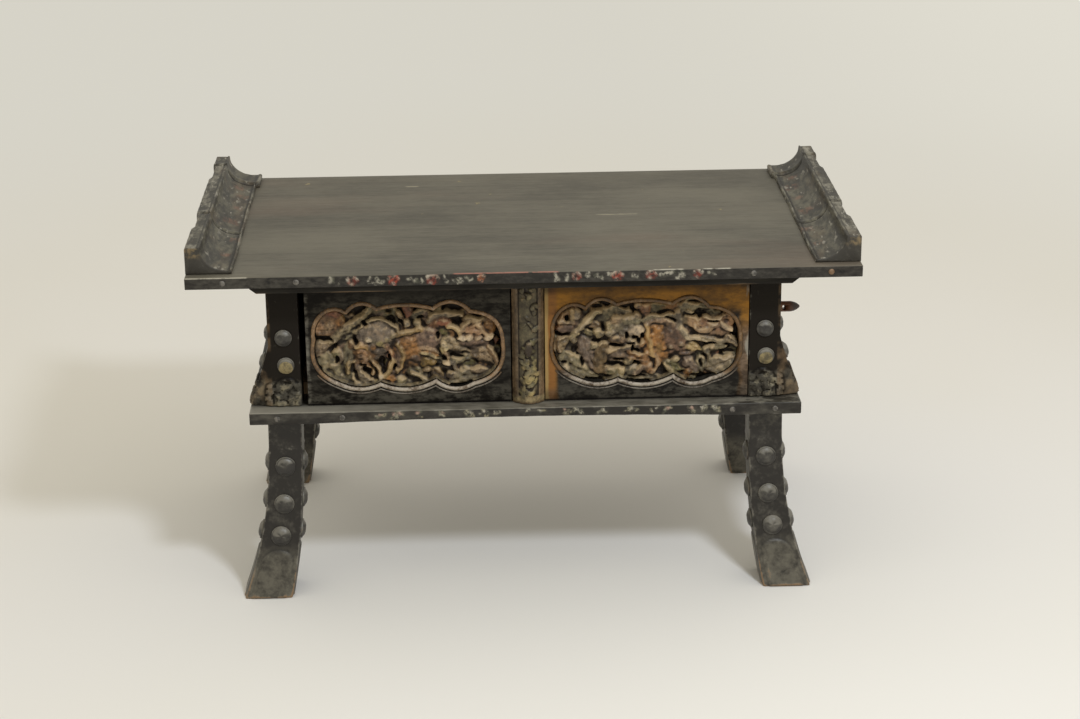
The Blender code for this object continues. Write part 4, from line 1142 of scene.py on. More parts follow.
class READING_OT_bosses(bpy.types.Operator):
    """Set the round bosses on the faces of the posts and legs"""
    bl_idname = "reading.bosses"
    bl_label = "Bosses"

    def execute(self, context):
        settings = table_settings(context)
        rise = settings.sizes.boss_rise
        whole = carved_lacquer("boss_lacquer", settings.lacquer, 0.55, 0.6, with_sheen=True)
        bare = self.scarred(settings.lacquer)
        for corner, mirror in corner_places():
            seats = [mirror @ seat for seat in self.leg_seats()]
            self.group("leg_bosses_" + corner, LEG_BOSS_RADIUS, rise, seats, whole)
            seats = [mirror @ seat for seat in self.post_seats()]
            if corner.startswith("front"):
                worn = Matrix.Translation((1.2 * MM, 0, 0)) @ seats.pop(1)
                self.group("post_boss_worn_" + corner, POST_BOSS_RADIUS, rise * 0.75, [worn], bare)
            self.group("post_bosses_" + corner, POST_BOSS_RADIUS, rise, seats, whole)
        return {"FINISHED"}

    def group(self, name, radius, rise, seats, material):
        """Bosses of one size: a low rim, then a dome with faint lobes."""
        rings = ((1, -0.3), (1, 0.2), (0.985, 0.31), (0.95, 0.39), (0.9, 0.42), (0.86, 0.42), (0.82, 0.49),
                 (0.76, 0.6), (0.66, 0.74), (0.54, 0.85), (0.42, 0.92), (0.28, 0.97), (0.14, 0.99))
        outline = [(0, -1 * MM)] + [(radius * away, rise * up) for away, up in rings] + [(0, rise)]
        bm = turned(outline, 40)
        for vert in bm.verts:
            reach = vert.co.xy.length / radius
            if 0.2 < reach < 0.84 and vert.co.z > 0:
                turn = math.atan2(vert.co.y, vert.co.x)
                vert.co.z += 0.03 * rise * math.cos(5 * turn)
        mesh = mesh_of(name, many(bm, seats), 180)
        weather(mesh, 6, 0.0016)
        spots = read(mesh.vertices, "co", 3)
        middle = spots.mean(axis=0)
        away = np.hypot(spots[:, 0] - middle[0], spots[:, 2] - middle[2] + 0.25 * radius) / radius
        store(mesh, "scar", unit((0.86 - away) / 0.12))
        # Faces that turn up get a painted sheen, faces that turn down painted shade.
        up = read(mesh.vertices, "normal", 3)[:, 2]
        store(mesh, "painted_sheen", unit((up - 0.08) / 0.4))
        store(mesh, "shade", unit((-up - 0.05) / 0.4))
        piece(name, mesh, material, "table")

    def scarred(self, hue):
        """Bosses rubbed down to yellowish wood, with lacquer left in their hollows."""
        finish = Finish("worn_boss")
        noise, step, mix = finish.makers
        hollow = finish.attribute("hollow")
        scuff = noise(420, 5, roughness=0.65)
        cloud = noise(130, 4)
        scar, black, grey = hue.scar, hue.black, hue.grey
        shade = step(cloud * 0.5 + scuff * 0.5, 0.38, 0.6)
        yellow = mix(shade, mixed(scar, black, 0.8), mixed(scar, black, 0.25))
        # The rim is painted lighter where it turns up: a painted sheen.
        rim = mix(finish.attribute("painted_sheen"), mixed(grey, black, 0.4), mixed(grey, hue.pale, 0.45))
        inner = step(finish.attribute("scar") + (cloud - 0.5) * 0.9 + (scuff - 0.5) * 0.5, 0.3, 0.7)
        colour = mix(inner, rim, yellow)
        left = step(hollow + (scuff - 0.5) * 1.5 + (cloud - 0.5) * 0.8, 0.2, 0.55)
        colour = mix(left * 0.85, colour, black)
        return finish.done(colour, 0.55 + scuff * 0.15, scuff * 0.6 + cloud * 0.4, 0.0006, 0.7)

    def leg_seats(self):
        """Seats on the front, outer and inner face of a leg, from the top down."""
        across = leg_face((LEG_INNER + LEG_OUTER) / 2, (FOOT_OUT + FOOT_IN) / 2)
        back = leg_face(-MIDDLE_DEPTH, -(FOOT_FRONT + FOOT_BACK) / 2)
        outer = leg_face(LEG_OUTER, FOOT_OUT)
        inner = leg_face(LEG_INNER, FOOT_IN)
        front = leg_face(-POST_FRONT, -FOOT_FRONT)
        seats = []
        for z in LEG_BOSSES:
            seats.append(facing((across(z), front(z), z), (0, -1, slope(front, z))))
            seats.append(facing((outer(z), back(z), z), (1, 0, -slope(outer, z))))
            seats.append(facing((inner(z), back(z), z), (-1, 0, slope(inner, z))))
        return seats

    def post_seats(self):
        """Seats on the front face, then on the outer face, from the top down."""
        middle = (POST_INNER + POST_OUTER) / 2
        seats = [facing((middle, -POST_FRONT, z), (0, -1, 0)) for z in POST_BOSSES]
        for z in POST_BOSSES:
            seats.append(facing((post_face(z), -MIDDLE_DEPTH, z), (1, 0, -slope(post_face, z))))
        return seats


class READING_OT_stops(bpy.types.Operator):
    """Shape the raised brush stops on the ends of the top"""
    bl_idname = "reading.stops"
    bl_label = "Brush stops"

    def execute(self, context):
        settings = table_settings(context)
        low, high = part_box("brush_stop_right")
        bm = bmesh.new()
        section = [bm.verts.new((x, low.y, z)) for x, z in self.section(low, high)]
        face = bm.faces.new(section)
        far = new_verts(bmesh.ops.extrude_face_region(bm, geom=[face]))
        bmesh.ops.translate(bm, vec=(0, high.y - low.y, 0), verts=far)
        along = [e for e in bm.edges if abs(e.verts[0].co.y - e.verts[1].co.y) > 0.01]
        bmesh.ops.subdivide_edges(bm, edges=along, cuts=STOP_CUTS)
        ends = [e for e in bm.edges if e.calc_face_angle(0) > 1.2
                and abs(e.verts[0].co.y - e.verts[1].co.y) < 1e-6]
        bmesh.ops.bevel(bm, geom=ends, offset=0.9 * MM, segments=2, profile=0.5, affect="EDGES", material=-1)
        bmesh.ops.recalc_face_normals(bm, faces=bm.faces[:])
        mesh = mesh_of("stop", bm, 60)
        spots = read(mesh.vertices, "co", 3)
        self.neck(spots, low, high)
        self.rough(mesh, spots, low)
        write_spots(mesh, spots)
        weather(mesh, 8, 0.0007)
        material = self.lacquer(settings, low, high)
        for side, sign in SIDES.items():
            name = "brush_stop_" + side
            piece(name + "_carved", mirrored(mesh, name, Matrix.Diagonal((sign, 1, 1, 1))), material,
                  "table", [name])
        return {"FINISHED"}

    def section(self, low, high):
        """Outline across the right stop: outer edge, crown, bead, cove and lip."""
        flat = 0.0125
        lip = 0.003
        bead = 0.0011
        crown = high.z
        shoulder = high.x - flat
        points = [(low.x, low.z), (high.x, low.z), (high.x, crown - 1.4 * MM),
                  (high.x - 0.5 * MM, crown - 0.4 * MM), (high.x - 1.4 * MM, crown),
                  (shoulder + 2.6 * MM, crown - 0.2 * MM)]
        for step in range(7):
            turn = math.pi * step / 6
            points.append((shoulder + bead * math.cos(turn), crown - 0.3 * MM + bead * 0.8 * math.sin(turn)))
        start = shoulder - bead - 0.3 * MM
        points.append((start, crown - 2.4 * MM))
        drop = crown - 2.4 * MM - low.z - lip
        reach = start - low.x - 2.6 * MM
        for step in range(1, 21):
            turn = math.radians(90) * step / 20
            points.append((start - reach * (1 - math.cos(turn)), crown - 2.4 * MM - drop * math.sin(turn)))
        points += [(low.x + 1.9 * MM, low.z + lip + 0.5 * MM), (low.x + 1.2 * MM, low.z + lip + 0.9 * MM),
                   (low.x + 0.5 * MM, low.z + lip + 0.6 * MM), (low.x, low.z + lip - 0.4 * MM)]
        return points

    def neck(self, spots, low, high):
        """Waist the outer edge in two places, cut the cross grooves and set the back band off."""
        x, y, z = spots.T.copy()
        inner = unit((high.x - 0.013 - x) / 0.003)
        body = unit((z - low.z) / 0.002)
        for groove in STOP_GROOVES:
            start = groove - STOP_WAIST
            waist = unit((y - start) / 0.007) * unit((groove - y) / 0.004)
            outer = unit((x - (high.x - 0.006)) / 0.006)
            spots[:, 0] -= 0.0026 * waist * outer
            line = np.exp(-((y - groove) / 0.0014) ** 2)
            crown = unit((z - low.z - 0.001) / 0.003)
            spots[:, 2] -= 0.0017 * line * crown
            swell = np.exp(-((y - groove - 0.005) / 0.0035) ** 2)
            spots[:, 2] += 0.0007 * swell * crown
        back = unit((y - 0.1265) / 0.0015)
        spots[:, 2] += 0.0016 * back * inner * body
        spots[:, 0] -= 0.0035 * back * unit((low.x + 0.006 - x) / 0.006)
        front = 0.0006 * np.sin(y * 47) * np.sin(y * 21 + 0.7)
        spots[:, 0] += front * unit((low.x + 0.004 - x) / 0.004) * body

    def rough(self, mesh, spots, low):
        """Uneven lacquer and chipped edges."""
        x, y, z = spots.T / MM
        normals = read(mesh.vertices, "normal", 3)
        dent = 0.18 * ripple(x + z, 0.4 * y, 31, 9, 26) + 0.06 * ripple(x + z, 0.4 * y, 32, 5, 9)
        body = unit((z - low.z / MM - 1) / 2)
        spots -= normals * (np.abs(dent) * body * MM)[:, None]

    def lacquer(self, settings, low, high):
        hue = settings.lacquer
        paint = settings.paint
        finish = Finish("stop_lacquer", 0.4)
        noise, step, mix = finish.makers
        x, y, z = finish.axes()
        across = abs(x)
        wear_and_highlight = finish.attribute("wear_and_highlight")
        hollow = finish.attribute("hollow")
        grain = noise(120, 6, (1, 0.1, 1))
        cloud = noise(34, 6, (1, 0.4, 1))
        blotch = noise(110, 5, (1, 0.35, 1), (0.7, 0.9, 0.3), 0.6)
        scuff = noise(260, 5, (1, 0.35, 1), (0.2, 0.8, 0.5), 0.65)
        worn = mixed(mixed(hue.top, paint.moss, 0.12), hue.black, 0.12)
        colour = mix(step(cloud * 0.3 + blotch * 0.4 + scuff * 0.3, 0.44, 0.59),
                     mixed(worn, hue.black, 0.86), worn)
        tint = noise(48, 4, (1, 0.4, 1), (0.2, 0.6, 0.8))
        colour = mix(step(tint, 0.52, 0.64) * 0.22, colour, mixed(hue.bare, hue.black, 0.35))
        shine = step(wear_and_highlight * 0.45 + (scuff - 0.5) * 1.1 + (blotch - 0.5) * 1.8, 0.35, 0.9)
        colour = mix(shine * 0.7, colour, mixed(hue.top, hue.pale, 0.7))
        for place, depth, size in ((0.272, -0.006, 0.011), (0.268, 0.078, 0.012), (0.264, -0.062, 0.009),
                                   (0.27, 0.04, 0.008), (0.274, 0.108, 0.007), (0.268, -0.108, 0.007)):
            away = (abs(across - place) * 1.3).math("MAXIMUM", abs(y - depth))
            flower = 1 - step(away + (blotch - 0.5) * 0.012, size * 0.5, size)
            colour = mix(flower * step(scuff * 0.6 + blotch * 0.4, 0.42, 0.56) * 0.22, colour,
                         mixed(paint.red, paint.bloom, 0.4))
        for place, depth in ((0.278, 0.112), (0.262, 0.104), (0.281, -0.02), (0.277, -0.075)):
            hole = ((across - place) * (across - place) + (y - depth) * (y - depth)).math("SQRT")
            colour = mix((1 - step(hole, 1.2 * MM, 1.9 * MM)) * 0.9, colour, (0.012, 0.009, 0.007))
        speck = step(noise(200, 3, (1, 0.35, 1), (0.1, 0.4, 0.9)), 0.6, 0.68)
        colour = mix(speck * 0.7, colour, hue.pale)
        colour = mix(step(hollow, 0.2, 0.8) * 0.85, colour, hue.black)
        end = 1 - step(y, low.y + 0.3 * MM, low.y + 1.2 * MM)
        colour = mix(end * 0.9, colour, mixed(hue.black, hue.grey, 0.3))
        streak = step(blotch * 0.6 + scuff * 0.4, 0.46, 0.6)
        corner = step(across, high.x - 0.018, high.x - 0.008) * step(z, high.z - 0.012, high.z - 0.006)
        colour = mix(end * streak * corner * 0.6, colour, mixed(hue.scar, hue.bare, 0.6))
        height = grain * 0.3 + scuff * 0.5 + blotch * 0.7
        return finish.done(colour, 0.46 + scuff * 0.16, height, 0.0009, 0.6)


class READING_OT_shelf(bpy.types.Operator):
    """Shape the shelf with its arched underside and the leaf pattern on its front edge"""
    bl_idname = "reading.shelf"
    bl_label = "Shelf"

    def execute(self, context):
        settings = table_settings(context)
        self.paint = settings.paint
        low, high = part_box("shelf_board")
        mesh = mesh_of("shelf", block(low, high, (1 * MM, 8 * MM, 1.4 * MM), 1.1 * MM))
        paint_edge(mesh, low, self.sprays)
        spots, x, y, z = points_of(mesh)
        arch = 0.003 * np.sin(np.pi * unit((x + 0.196) / 0.392))
        spots[:, 2] += arch * (high.z - z) / (high.z - low.z)
        worn = 0.0005 * np.sin(x * 61 + 1.3) * np.sin(x * 23) + 0.0003 * np.sin(x * 137)
        spots[:, 1] += np.where(y < low.y + 0.002, np.abs(worn), 0)
        write_spots(mesh, spots)
        lacquer = self.lacquer(settings.lacquer, low, high)
        piece("shelf", mesh, lacquer, "table", ["shelf_board"])
        return {"FINISHED"}

    def sprays(self, relief):
        """Leaf sprays along the middle of the edge."""
        p = self.paint
        chance = np.random.default_rng(11)
        grey = mixed(p.cream, p.leaf, 0.6)
        olive = mixed(p.leaf, p.tail, 0.35)
        shade = mixed(p.leaf, SHADE, 0.55)
        pinkish = mixed(p.cream, p.red, 0.4)
        for place in (-133, -121, -115, -99, -75, -50, -38, -28, 2, 12,
                      35, 46, 70, 96, 118, 129, 151, 160, 172):
            for number in range(5):
                middle = np.array((place, 6.5)) + chance.uniform(-5, 5, 2) * (1, 0.8)
                reach = heading(chance.uniform(0, math.pi)) * chance.uniform(1.8, 4.2)
                tone = shade if number > 2 else mixed(grey, olive, chance.uniform(0, 1))
                relief.leaf(sprig(chance, middle, reach, 1), chance.uniform(1.3, 2.5),
                            0.85 if number > 2 else 0.95, tone, 0.8, 0)
            relief.dome((place, 8), (2, 1.7), 1, pinkish if place % 2 else p.cream, power=0.15)

    def lacquer(self, hue, low, high):
        finish = Finish("shelf_lacquer", 0.35)
        noise, step, mix = finish.makers
        x, y, z = finish.axes()
        cloud = noise(24, 6, (0.15, 1, 1))
        blotch = noise(90, 5, (0.6, 1, 1), (0.8, 0.4, 0.6))
        scuff = noise(190, 6, (0.4, 1, 1), (0.3, 0.7, 0.1), 0.65)
        fine = noise(800, 3, shift=(0.9, 0.2, 0.5))
        dull = step(cloud * 0.4 + blotch * 0.3 + scuff * 0.3, 0.44, 0.66)
        colour = mix(dull, hue.black, hue.grey)
        colour = worn_pattern(finish, colour, scuff, 0.46)
        # The front strip of the shelf's top, paler at the left and black in patches at the right, is painted
        # lighter grey: worn lacquer, and painted light on a face that turns up.
        upper = step(z, high.z - 1 * MM, high.z - 0.3 * MM)
        ahead = 1 - step(y + (blotch - 0.5) * 0.012, low.y + 0.012, low.y + 0.024)
        left = 1 - step(x + (cloud - 0.5) * 0.08, -0.235, -0.06)
        right = step(x + (cloud - 0.5) * 0.05, 0.16, 0.2)
        both = blotch * 0.5 + scuff * 0.5
        light = mixed(hue.top, hue.pale, 0.45)
        top = mix(step(both, 0.38, 0.6), mixed(hue.grey, hue.top, 0.5), light)
        top = mix(left * 0.75, top, hue.pale)
        top = mix(right * (1 - step(both, 0.46, 0.58)) * 0.75, top, hue.black)
        colour = mix(upper * ahead * 0.9, colour, top)
        edge = along_edges(finish, low, high, 0.0025)
        rubbed = step(edge + (scuff - 0.5) * 1.5 + (blotch - 0.5) * 1.6, 1, 1.4)
        colour = mix(rubbed * 0.6, colour, hue.pale)
        return finish.done(colour, 0.44 + dull * 0.18, scuff * 0.6 + fine * 0.2 + blotch * 0.4, 0.0006, 0.55)


class READING_OT_strut(bpy.types.Operator):
    """Carve the upright between the drawers"""
    bl_idname = "reading.strut"
    bl_label = "Centre strut"

    def execute(self, context):
        settings = table_settings(context)
        low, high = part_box("centre_strut")
        middle = (low.x + high.x) / 2
        half = (high.x - low.x) / 2
        bm = block((low.x, -POST_FRONT, low.z), high, (0.6 * MM, 5 * MM, 0.6 * MM), 0.5 * MM)
        mesh = mesh_of("centre_strut", bm, 180)
        spots, x, y, z = points_of(mesh)
        relief = Relief((x - middle) / MM, (z - low.z) / MM, 0, settings.lacquer.grey)
        self.ornament(relief, settings.paint, settings.lacquer)
        bow = 0.009 * (1 - ((x - middle) / half) ** 2)
        front = unit((high.y - y) / (high.y + POST_FRONT))
        lift = np.where(y < -POST_FRONT + 0.0006, relief.height, 0)
        spots[:, 1] = y - front * bow - lift * MM
        write_spots(mesh, spots)
        store(mesh, "paint", spread(mesh, relief.paint, 4))
        weather(mesh, 14, 0.0007)
        material = carved_paint("strut_paint", settings.lacquer, 0.6, 0.3)
        piece("centre_strut_carved", mesh, material, "table", ["centre_strut"])
        return {"FINISHED"}

    def ornament(self, relief, paint, lacquer):
        """Side mouldings and a sunk panel with leaves, a bud and a flower, from the middle of the foot."""
        deep = -1.5
        inside = (np.abs(relief.u) < 9) & (relief.w > 7.5) & (relief.w < 113.5)
        relief.height = np.where(inside, deep, 0)
        relief.paint[:] = mixed(lacquer.bead, lacquer.grey, 0.6)
        relief.paint[inside] = mixed(paint.leaf, lacquer.black, 0.55)
        rim = np.abs(np.abs(relief.u) - 11.6)
        relief.height += np.where(rim < 1.8, 0.7 * np.sqrt(unit(1 - (rim / 1.8) ** 2)), 0)
        sill = (relief.w < 7) & (relief.w > 2)
        relief.paint[sill] = mixed(lacquer.pale, lacquer.scar, 0.5)
        moss = mixed(paint.moss, paint.leaf, 0.4)
        gold = mixed(paint.tail, paint.moss, 0.35)
        dim = mixed(paint.leaf, lacquer.black, 0.45)
        chance = np.random.default_rng(6)
        for foot, head, count, tones in (
                (98, 111, 7, (dim, paint.leaf)), (66, 96, 8, (dim, dim)), (40, 62, 12, (dim, moss)),
                (10, 44, 34, (moss, gold, paint.leaf, gold)), (8, 16, 8, (paint.haunch, dim))):
            for _ in range(count):
                middle = chance.uniform((-7, foot), (7, head))
                reach = heading(chance.uniform(0.3, 2.8)) * chance.uniform(2, 4.4)
                relief.leaf(sprig(chance, middle, reach, 1), chance.uniform(1.2, 2.6),
                            chance.uniform(1, 2.6), tones[chance.integers(len(tones))], 0.8, 2, base=deep)
        relief.dome((0, 52), (3.8, 6.5), 3.2, mixed(paint.mane, lacquer.black, 0.75), base=deep, strands=6)
        relief.dome((0.8, 58.5), (2.8, 1.6), 3.4, mixed(paint.pale, paint.mane, 0.5), base=deep)
        relief.curl((-0.5, 23), 3.6, 3, gold, 1, base=deep)


class READING_OT_fronts(bpy.types.Operator):
    """Make the drawer fronts with their lobed openings and beads"""
    bl_idname = "reading.fronts"
    bl_label = "Drawer fronts"

    def execute(self, context):
        settings = table_settings(context)
        for side in SIDES:
            body = side + "_drawer"
            node = body + "_front"
            low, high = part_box(node)
            middle = (low.x + high.x) / 2
            mesh = self.board(low, high, middle)
            lacquer = self.board_finish(side, settings, low, high)
            obj = piece(node + "_board", mesh, lacquer, body, [node])
            rounding = obj.modifiers.new("rounding", "BEVEL")
            rounding.width = 0.6 * MM
            rounding.segments = 2
            rounding.limit_method = "ANGLE"
            rounding.angle_limit = math.radians(60)
            radius = settings.sizes.bead
            bead = self.bead_finish(side + "_bead", side, settings, 0)
            faded = self.bead_finish(side + "_line", side, settings, 0.55)
            around = [(middle + u, -POST_FRONT + 0.1 * radius, OPENING_MIDDLE + w)
                      for u, w in lobed_outline(radius)]
            piece(body + "_bead", tube(side + "_bead", around, radius), bead, body)
            below = [(middle + u, -POST_FRONT, OPENING_MIDDLE + w)
                     for u, w in lobed_outline(3 * radius) if w < -0.024]
            line = tube(side + "_line", below, 0.36 * radius, False)
            piece(body + "_line", line, faded, body)
        return {"FINISHED"}

    def board(self, low, high, middle):
        bm = bmesh.new()
        hole = [bm.verts.new((middle + u, -POST_FRONT, OPENING_MIDDLE + w)) for u, w in lobed_outline(0)]
        corners = [bm.verts.new((x, -POST_FRONT, z)) for x, z in
                   ((low.x, low.z), (high.x, low.z), (high.x, high.z), (low.x, high.z))]
        edges = []
        for loop in (hole, corners):
            edges += [bm.edges.new(pair) for pair in zip(loop, loop[1:] + loop[:1])]
        faces = bmesh.ops.triangle_fill(bm, edges=edges, use_beauty=True, normal=(0, -1, 0))["geom"]
        faces = [item for item in faces if isinstance(item, bmesh.types.BMFace)]
        back = new_verts(bmesh.ops.extrude_face_region(bm, geom=faces, use_keep_orig=True))
        bmesh.ops.translate(bm, vec=(0, FRONT_THICKNESS, 0), verts=back)
        bmesh.ops.recalc_face_normals(bm, faces=bm.faces[:])
        return mesh_of("front_board", bm, 30)

    def board_finish(self, side, settings, low, high):
        hue = settings.lacquer
        finish = Finish(side + "_front_lacquer", 0.08 if side == "left" else 0.15)
        noise, step, mix = finish.makers
        x, _, z = finish.axes()
        grain = noise(70, 6, (0.12, 1, 1))
        cloud = noise(28, 5, (0.5, 1, 1), (0.4, 0.1, 0.2))
        scuff = noise(230, 5, (0.5, 1, 1), (0.2, 0.8, 0.5), 0.65)
        black = mix(step(grain * 0.3 + scuff * 0.4 + cloud * 0.3, 0.44, 0.62),
                    mixed(hue.black, BLACK, 0.45), mixed(hue.black, hue.grey, 0.5))
        bottom = 1 - step(z + (cloud - 0.5) * 0.008, low.z + 0.008, low.z + 0.016)
        rubbed = step(scuff * 0.6 + cloud * 0.4, 0.42, 0.6)
        colour = mix(bottom * rubbed * 0.5, black, hue.grey)
        if side == "left":
            worn = 1 - step(x + (cloud - 0.5) * 0.004, low.x + 0.0015, low.x + 0.004)
            colour = mix(worn * step(cloud * 0.5 + scuff * 0.5, 0.4, 0.6) * 0.85, colour,
                         mixed(hue.grey, hue.pale, 0.35))
        else:
            upper = step(z + (cloud - 0.5) * 0.02, 0.258, 0.27)
            left = 1 - step(x + (cloud - 0.5) * 0.01, low.x + 0.009, low.x + 0.014)
            right = step(x + (cloud - 0.5) * 0.016, high.x - 0.011, high.x - 0.005)
            tone = mix(step(cloud * 0.5 + grain * 0.2 + scuff * 0.3, 0.4, 0.6),
                       mixed(hue.ochre, hue.black, 0.7), hue.ochre)
            band = step(x + (cloud - 0.5) * 0.004, low.x + 0.0025, low.x + 0.0045)
            deep = mixed(mixed(hue.ochre, settings.paint.rust, 0.4), hue.black, 0.2)
            deep = mix(step(cloud * 0.6 + scuff * 0.4, 0.4, 0.6), mixed(deep, hue.black, 0.5), deep)
            flank = mix(band, mixed(hue.ochre, hue.scar, 0.7), deep)
            tone = mix(left * 0.85, tone, flank)
            spot = step(scuff * 0.6 + cloud * 0.4, 0.44, 0.6)
            mauve = mixed(mixed(hue.bare, settings.paint.mane, 0.4), hue.black, 0.2)
            sunk = right * (1 - step(z + (cloud - 0.5) * 0.02, 0.236, 0.262))
            tone = mix(sunk * 0.9, tone, mix(spot, mixed(mauve, hue.black, 0.75), mauve))
            amber = upper.math("MAXIMUM", left * (1 - bottom * 0.5))
            amber = amber.math("MAXIMUM", right * (0.9 - bottom * 0.5))
            colour = mix(amber, colour, tone)
            # Pale patches along the right edge of the board: painted highlights on that edge.
            patch = step(noise(60, 4, (1, 1, 0.4), (0.3, 0.6, 0.2)), 0.56, 0.64)
            rim = step(x, high.x - 0.0045, high.x - 0.002)
            colour = mix(rim * patch * 0.7, colour, hue.pale)
        # A painted shadow line along the foot of the board, above the shelf.
        foot = 1 - step(z, low.z + 1 * MM, low.z + 2.2 * MM)
        colour = mix(foot * 0.9, colour, (0.004, 0.003, 0.003))
        # Painted shadow under the top, along the upper part of the board.
        painted_shade = step(z + (cloud - 0.5) * 0.006, 0.28, 0.288)
        colour = mix(painted_shade * 0.65, colour, mixed(hue.black, BLACK, 0.45))
        return finish.done(colour, 0.42 + scuff * 0.16, grain * 0.4 + scuff * 0.5, 0.0005, 0.5)

    def bead_finish(self, name, side, settings, dark):
        hue = settings.lacquer
        finish = Finish(name)
        noise, step, mix = finish.makers
        height = finish.axes()[2]
        cloud = noise(60, 5)
        scuff = noise(330, 5, shift=(0.4, 0.3, 0.7), roughness=0.65)
        if side == "left":
            light = mixed(hue.bead, hue.ochre, 0.3)
            rubbing = 0.45
        else:
            light = mixed(mixed(hue.bead, hue.ochre, 0.8), hue.black, 0.5)
            rubbing = 0.2
        shade = step(cloud * 0.5 + scuff * 0.5, 0.4, 0.62)
        colour = mix(shade, mixed(light, hue.black, 0.7), light)
        # Pale patches on the lowest part of the bead: a painted highlight on the bottom lobes.
        low = 1 - step(height + (cloud - 0.5) * 0.02, 0.199, 0.211)
        rubbed = low * step(scuff * 0.5 + cloud * 0.5, 0.36, 0.56)
        colour = mix(rubbed * 0.85, colour, mixed(hue.pale, settings.paint.white, 0.35))
        pale = step(scuff + (cloud - 0.5), 0.62, 0.74)
        colour = mix(pale * rubbing, colour, hue.pale)
        colour = mix(dark, colour, hue.black)
        return finish.done(colour, 0.42 + scuff * 0.15, scuff * 0.6 + cloud * 0.4, 0.0005, 0.6)


class READING_OT_carvings(bpy.types.Operator):
    """Carve the lion among peonies behind each drawer's opening"""
    bl_idname = "reading.carvings"
    bl_label = "Drawer carvings"

    def execute(self, context):
        settings = table_settings(context)
        material = carved_paint("carving_paint", settings.lacquer)
        for side in SIDES:
            low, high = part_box(side + "_drawer_front")
            middle = (low.x + high.x) / 2
            mesh = self.carve(side, middle, settings)
            piece(side + "_drawer_relief", mesh, material, side + "_drawer",
                  [side + "_drawer_carving"])
        return {"FINISHED"}

    def carve(self, side, middle, settings):
        pitch = settings.sizes.carving_net
        half = [size + PANEL_MARGIN for size in OPENING_HALF]
        columns, rows = (int(2 * size / pitch) for size in half)
        ground = -POST_FRONT + FRONT_THICKNESS + TOUCH
        bm = bmesh.new()
        place = Matrix.Translation((middle, ground, OPENING_MIDDLE)) @ Matrix.Rotation(math.pi / 2, 4, "X")
        bmesh.ops.create_grid(bm, x_segments=columns, y_segments=rows, size=1,
                              matrix=place @ Matrix.Diagonal((half[0], half[1], 1, 1)))
        rim = [edge for edge in bm.edges if edge.is_boundary]
        back = new_verts(bmesh.ops.extrude_edge_only(bm, edges=rim))
        bmesh.ops.translate(bm, vec=(0, PANEL_BACK, 0), verts=back)
        bmesh.ops.edgeloop_fill(bm, edges=[edge for edge in bm.edges if edge.is_boundary])
        bmesh.ops.recalc_face_normals(bm, faces=bm.faces[:])
        mesh = mesh_of(side + "_relief", bm, 180)
        spots, x, y, z = points_of(mesh)
        face = y < ground + 0.5 * PANEL_BACK
        u = x / MM
        w = z / MM + FORM_SHIFT
        shaken = (u + 0.7 * ripple(u, w, 21, 7, 20), w + 0.7 * ripple(u, w, 22, 7, 20))
        relief = Relief(*shaken, 1, mixed(settings.lacquer.black, BLACK, 0.4), FORM_SWELL)
        drawing = Composition(relief, settings.paint, middle / MM)
        if side == "left":
            left_forms(drawing)
        else:
            right_forms(drawing)
        inside = depth_inside(x - middle, z - OPENING_MIDDLE, lobed_outline(0))
        sill = unit((4.4 - inside / MM) / 2.4) * unit((226 - w) / 12)
        for start, end in SILL_BREAKS[side]:
            sill *= np.clip(np.abs(u - (start + end) / 2) - (end - start) / 2, 0, 2) / 2
        relief.lay(np.arange(u.size), 12.3 * sill, drawing.dim(drawing.grey, 0.45))
        raised = relief.height * 1.1 + 0.5 * ripple(u, w, 23, 3, 9) * unit(relief.height / 6 - 0.5)
        raised = np.minimum(raised, FORM_CEILING + 0.3 * (raised - FORM_CEILING))
        full = spread(mesh, raised, 2)
        height = np.where(face & (inside > 0.0003), full, 0)
        spots[:, 1] = np.where(face, ground - height * MM, y)
        write_spots(mesh, spots)
        store(mesh, "paint", spread(mesh, relief.paint, 5))
        broad = spread(mesh, full, 110)
        close = spread(mesh, full, 10)
        # Painted shade on faces that turn down goes into the hollow value, and a painted highlight on faces
        # that turn up into the wear value, less near the opening's edge.
        up = read(mesh.vertices, "normal", 3)[:, 2]
        lean = spread(mesh, up, 14) * 2
        under = 0.15 * unit(-up) + 0.36 * unit(-lean)
        store(mesh, "hollow", unit((broad - full) / 6 + (close - full) / 6.5 + under))
        wear_and_highlight = (full - close) / 5 + (full - broad) / 12 + 0.25 * unit(up) + 0.6 * unit(lean)
        store(mesh, "wear_and_highlight", unit(wear_and_highlight) * np.clip(inside / (4.5 * MM), 0.15, 1))
        return mesh


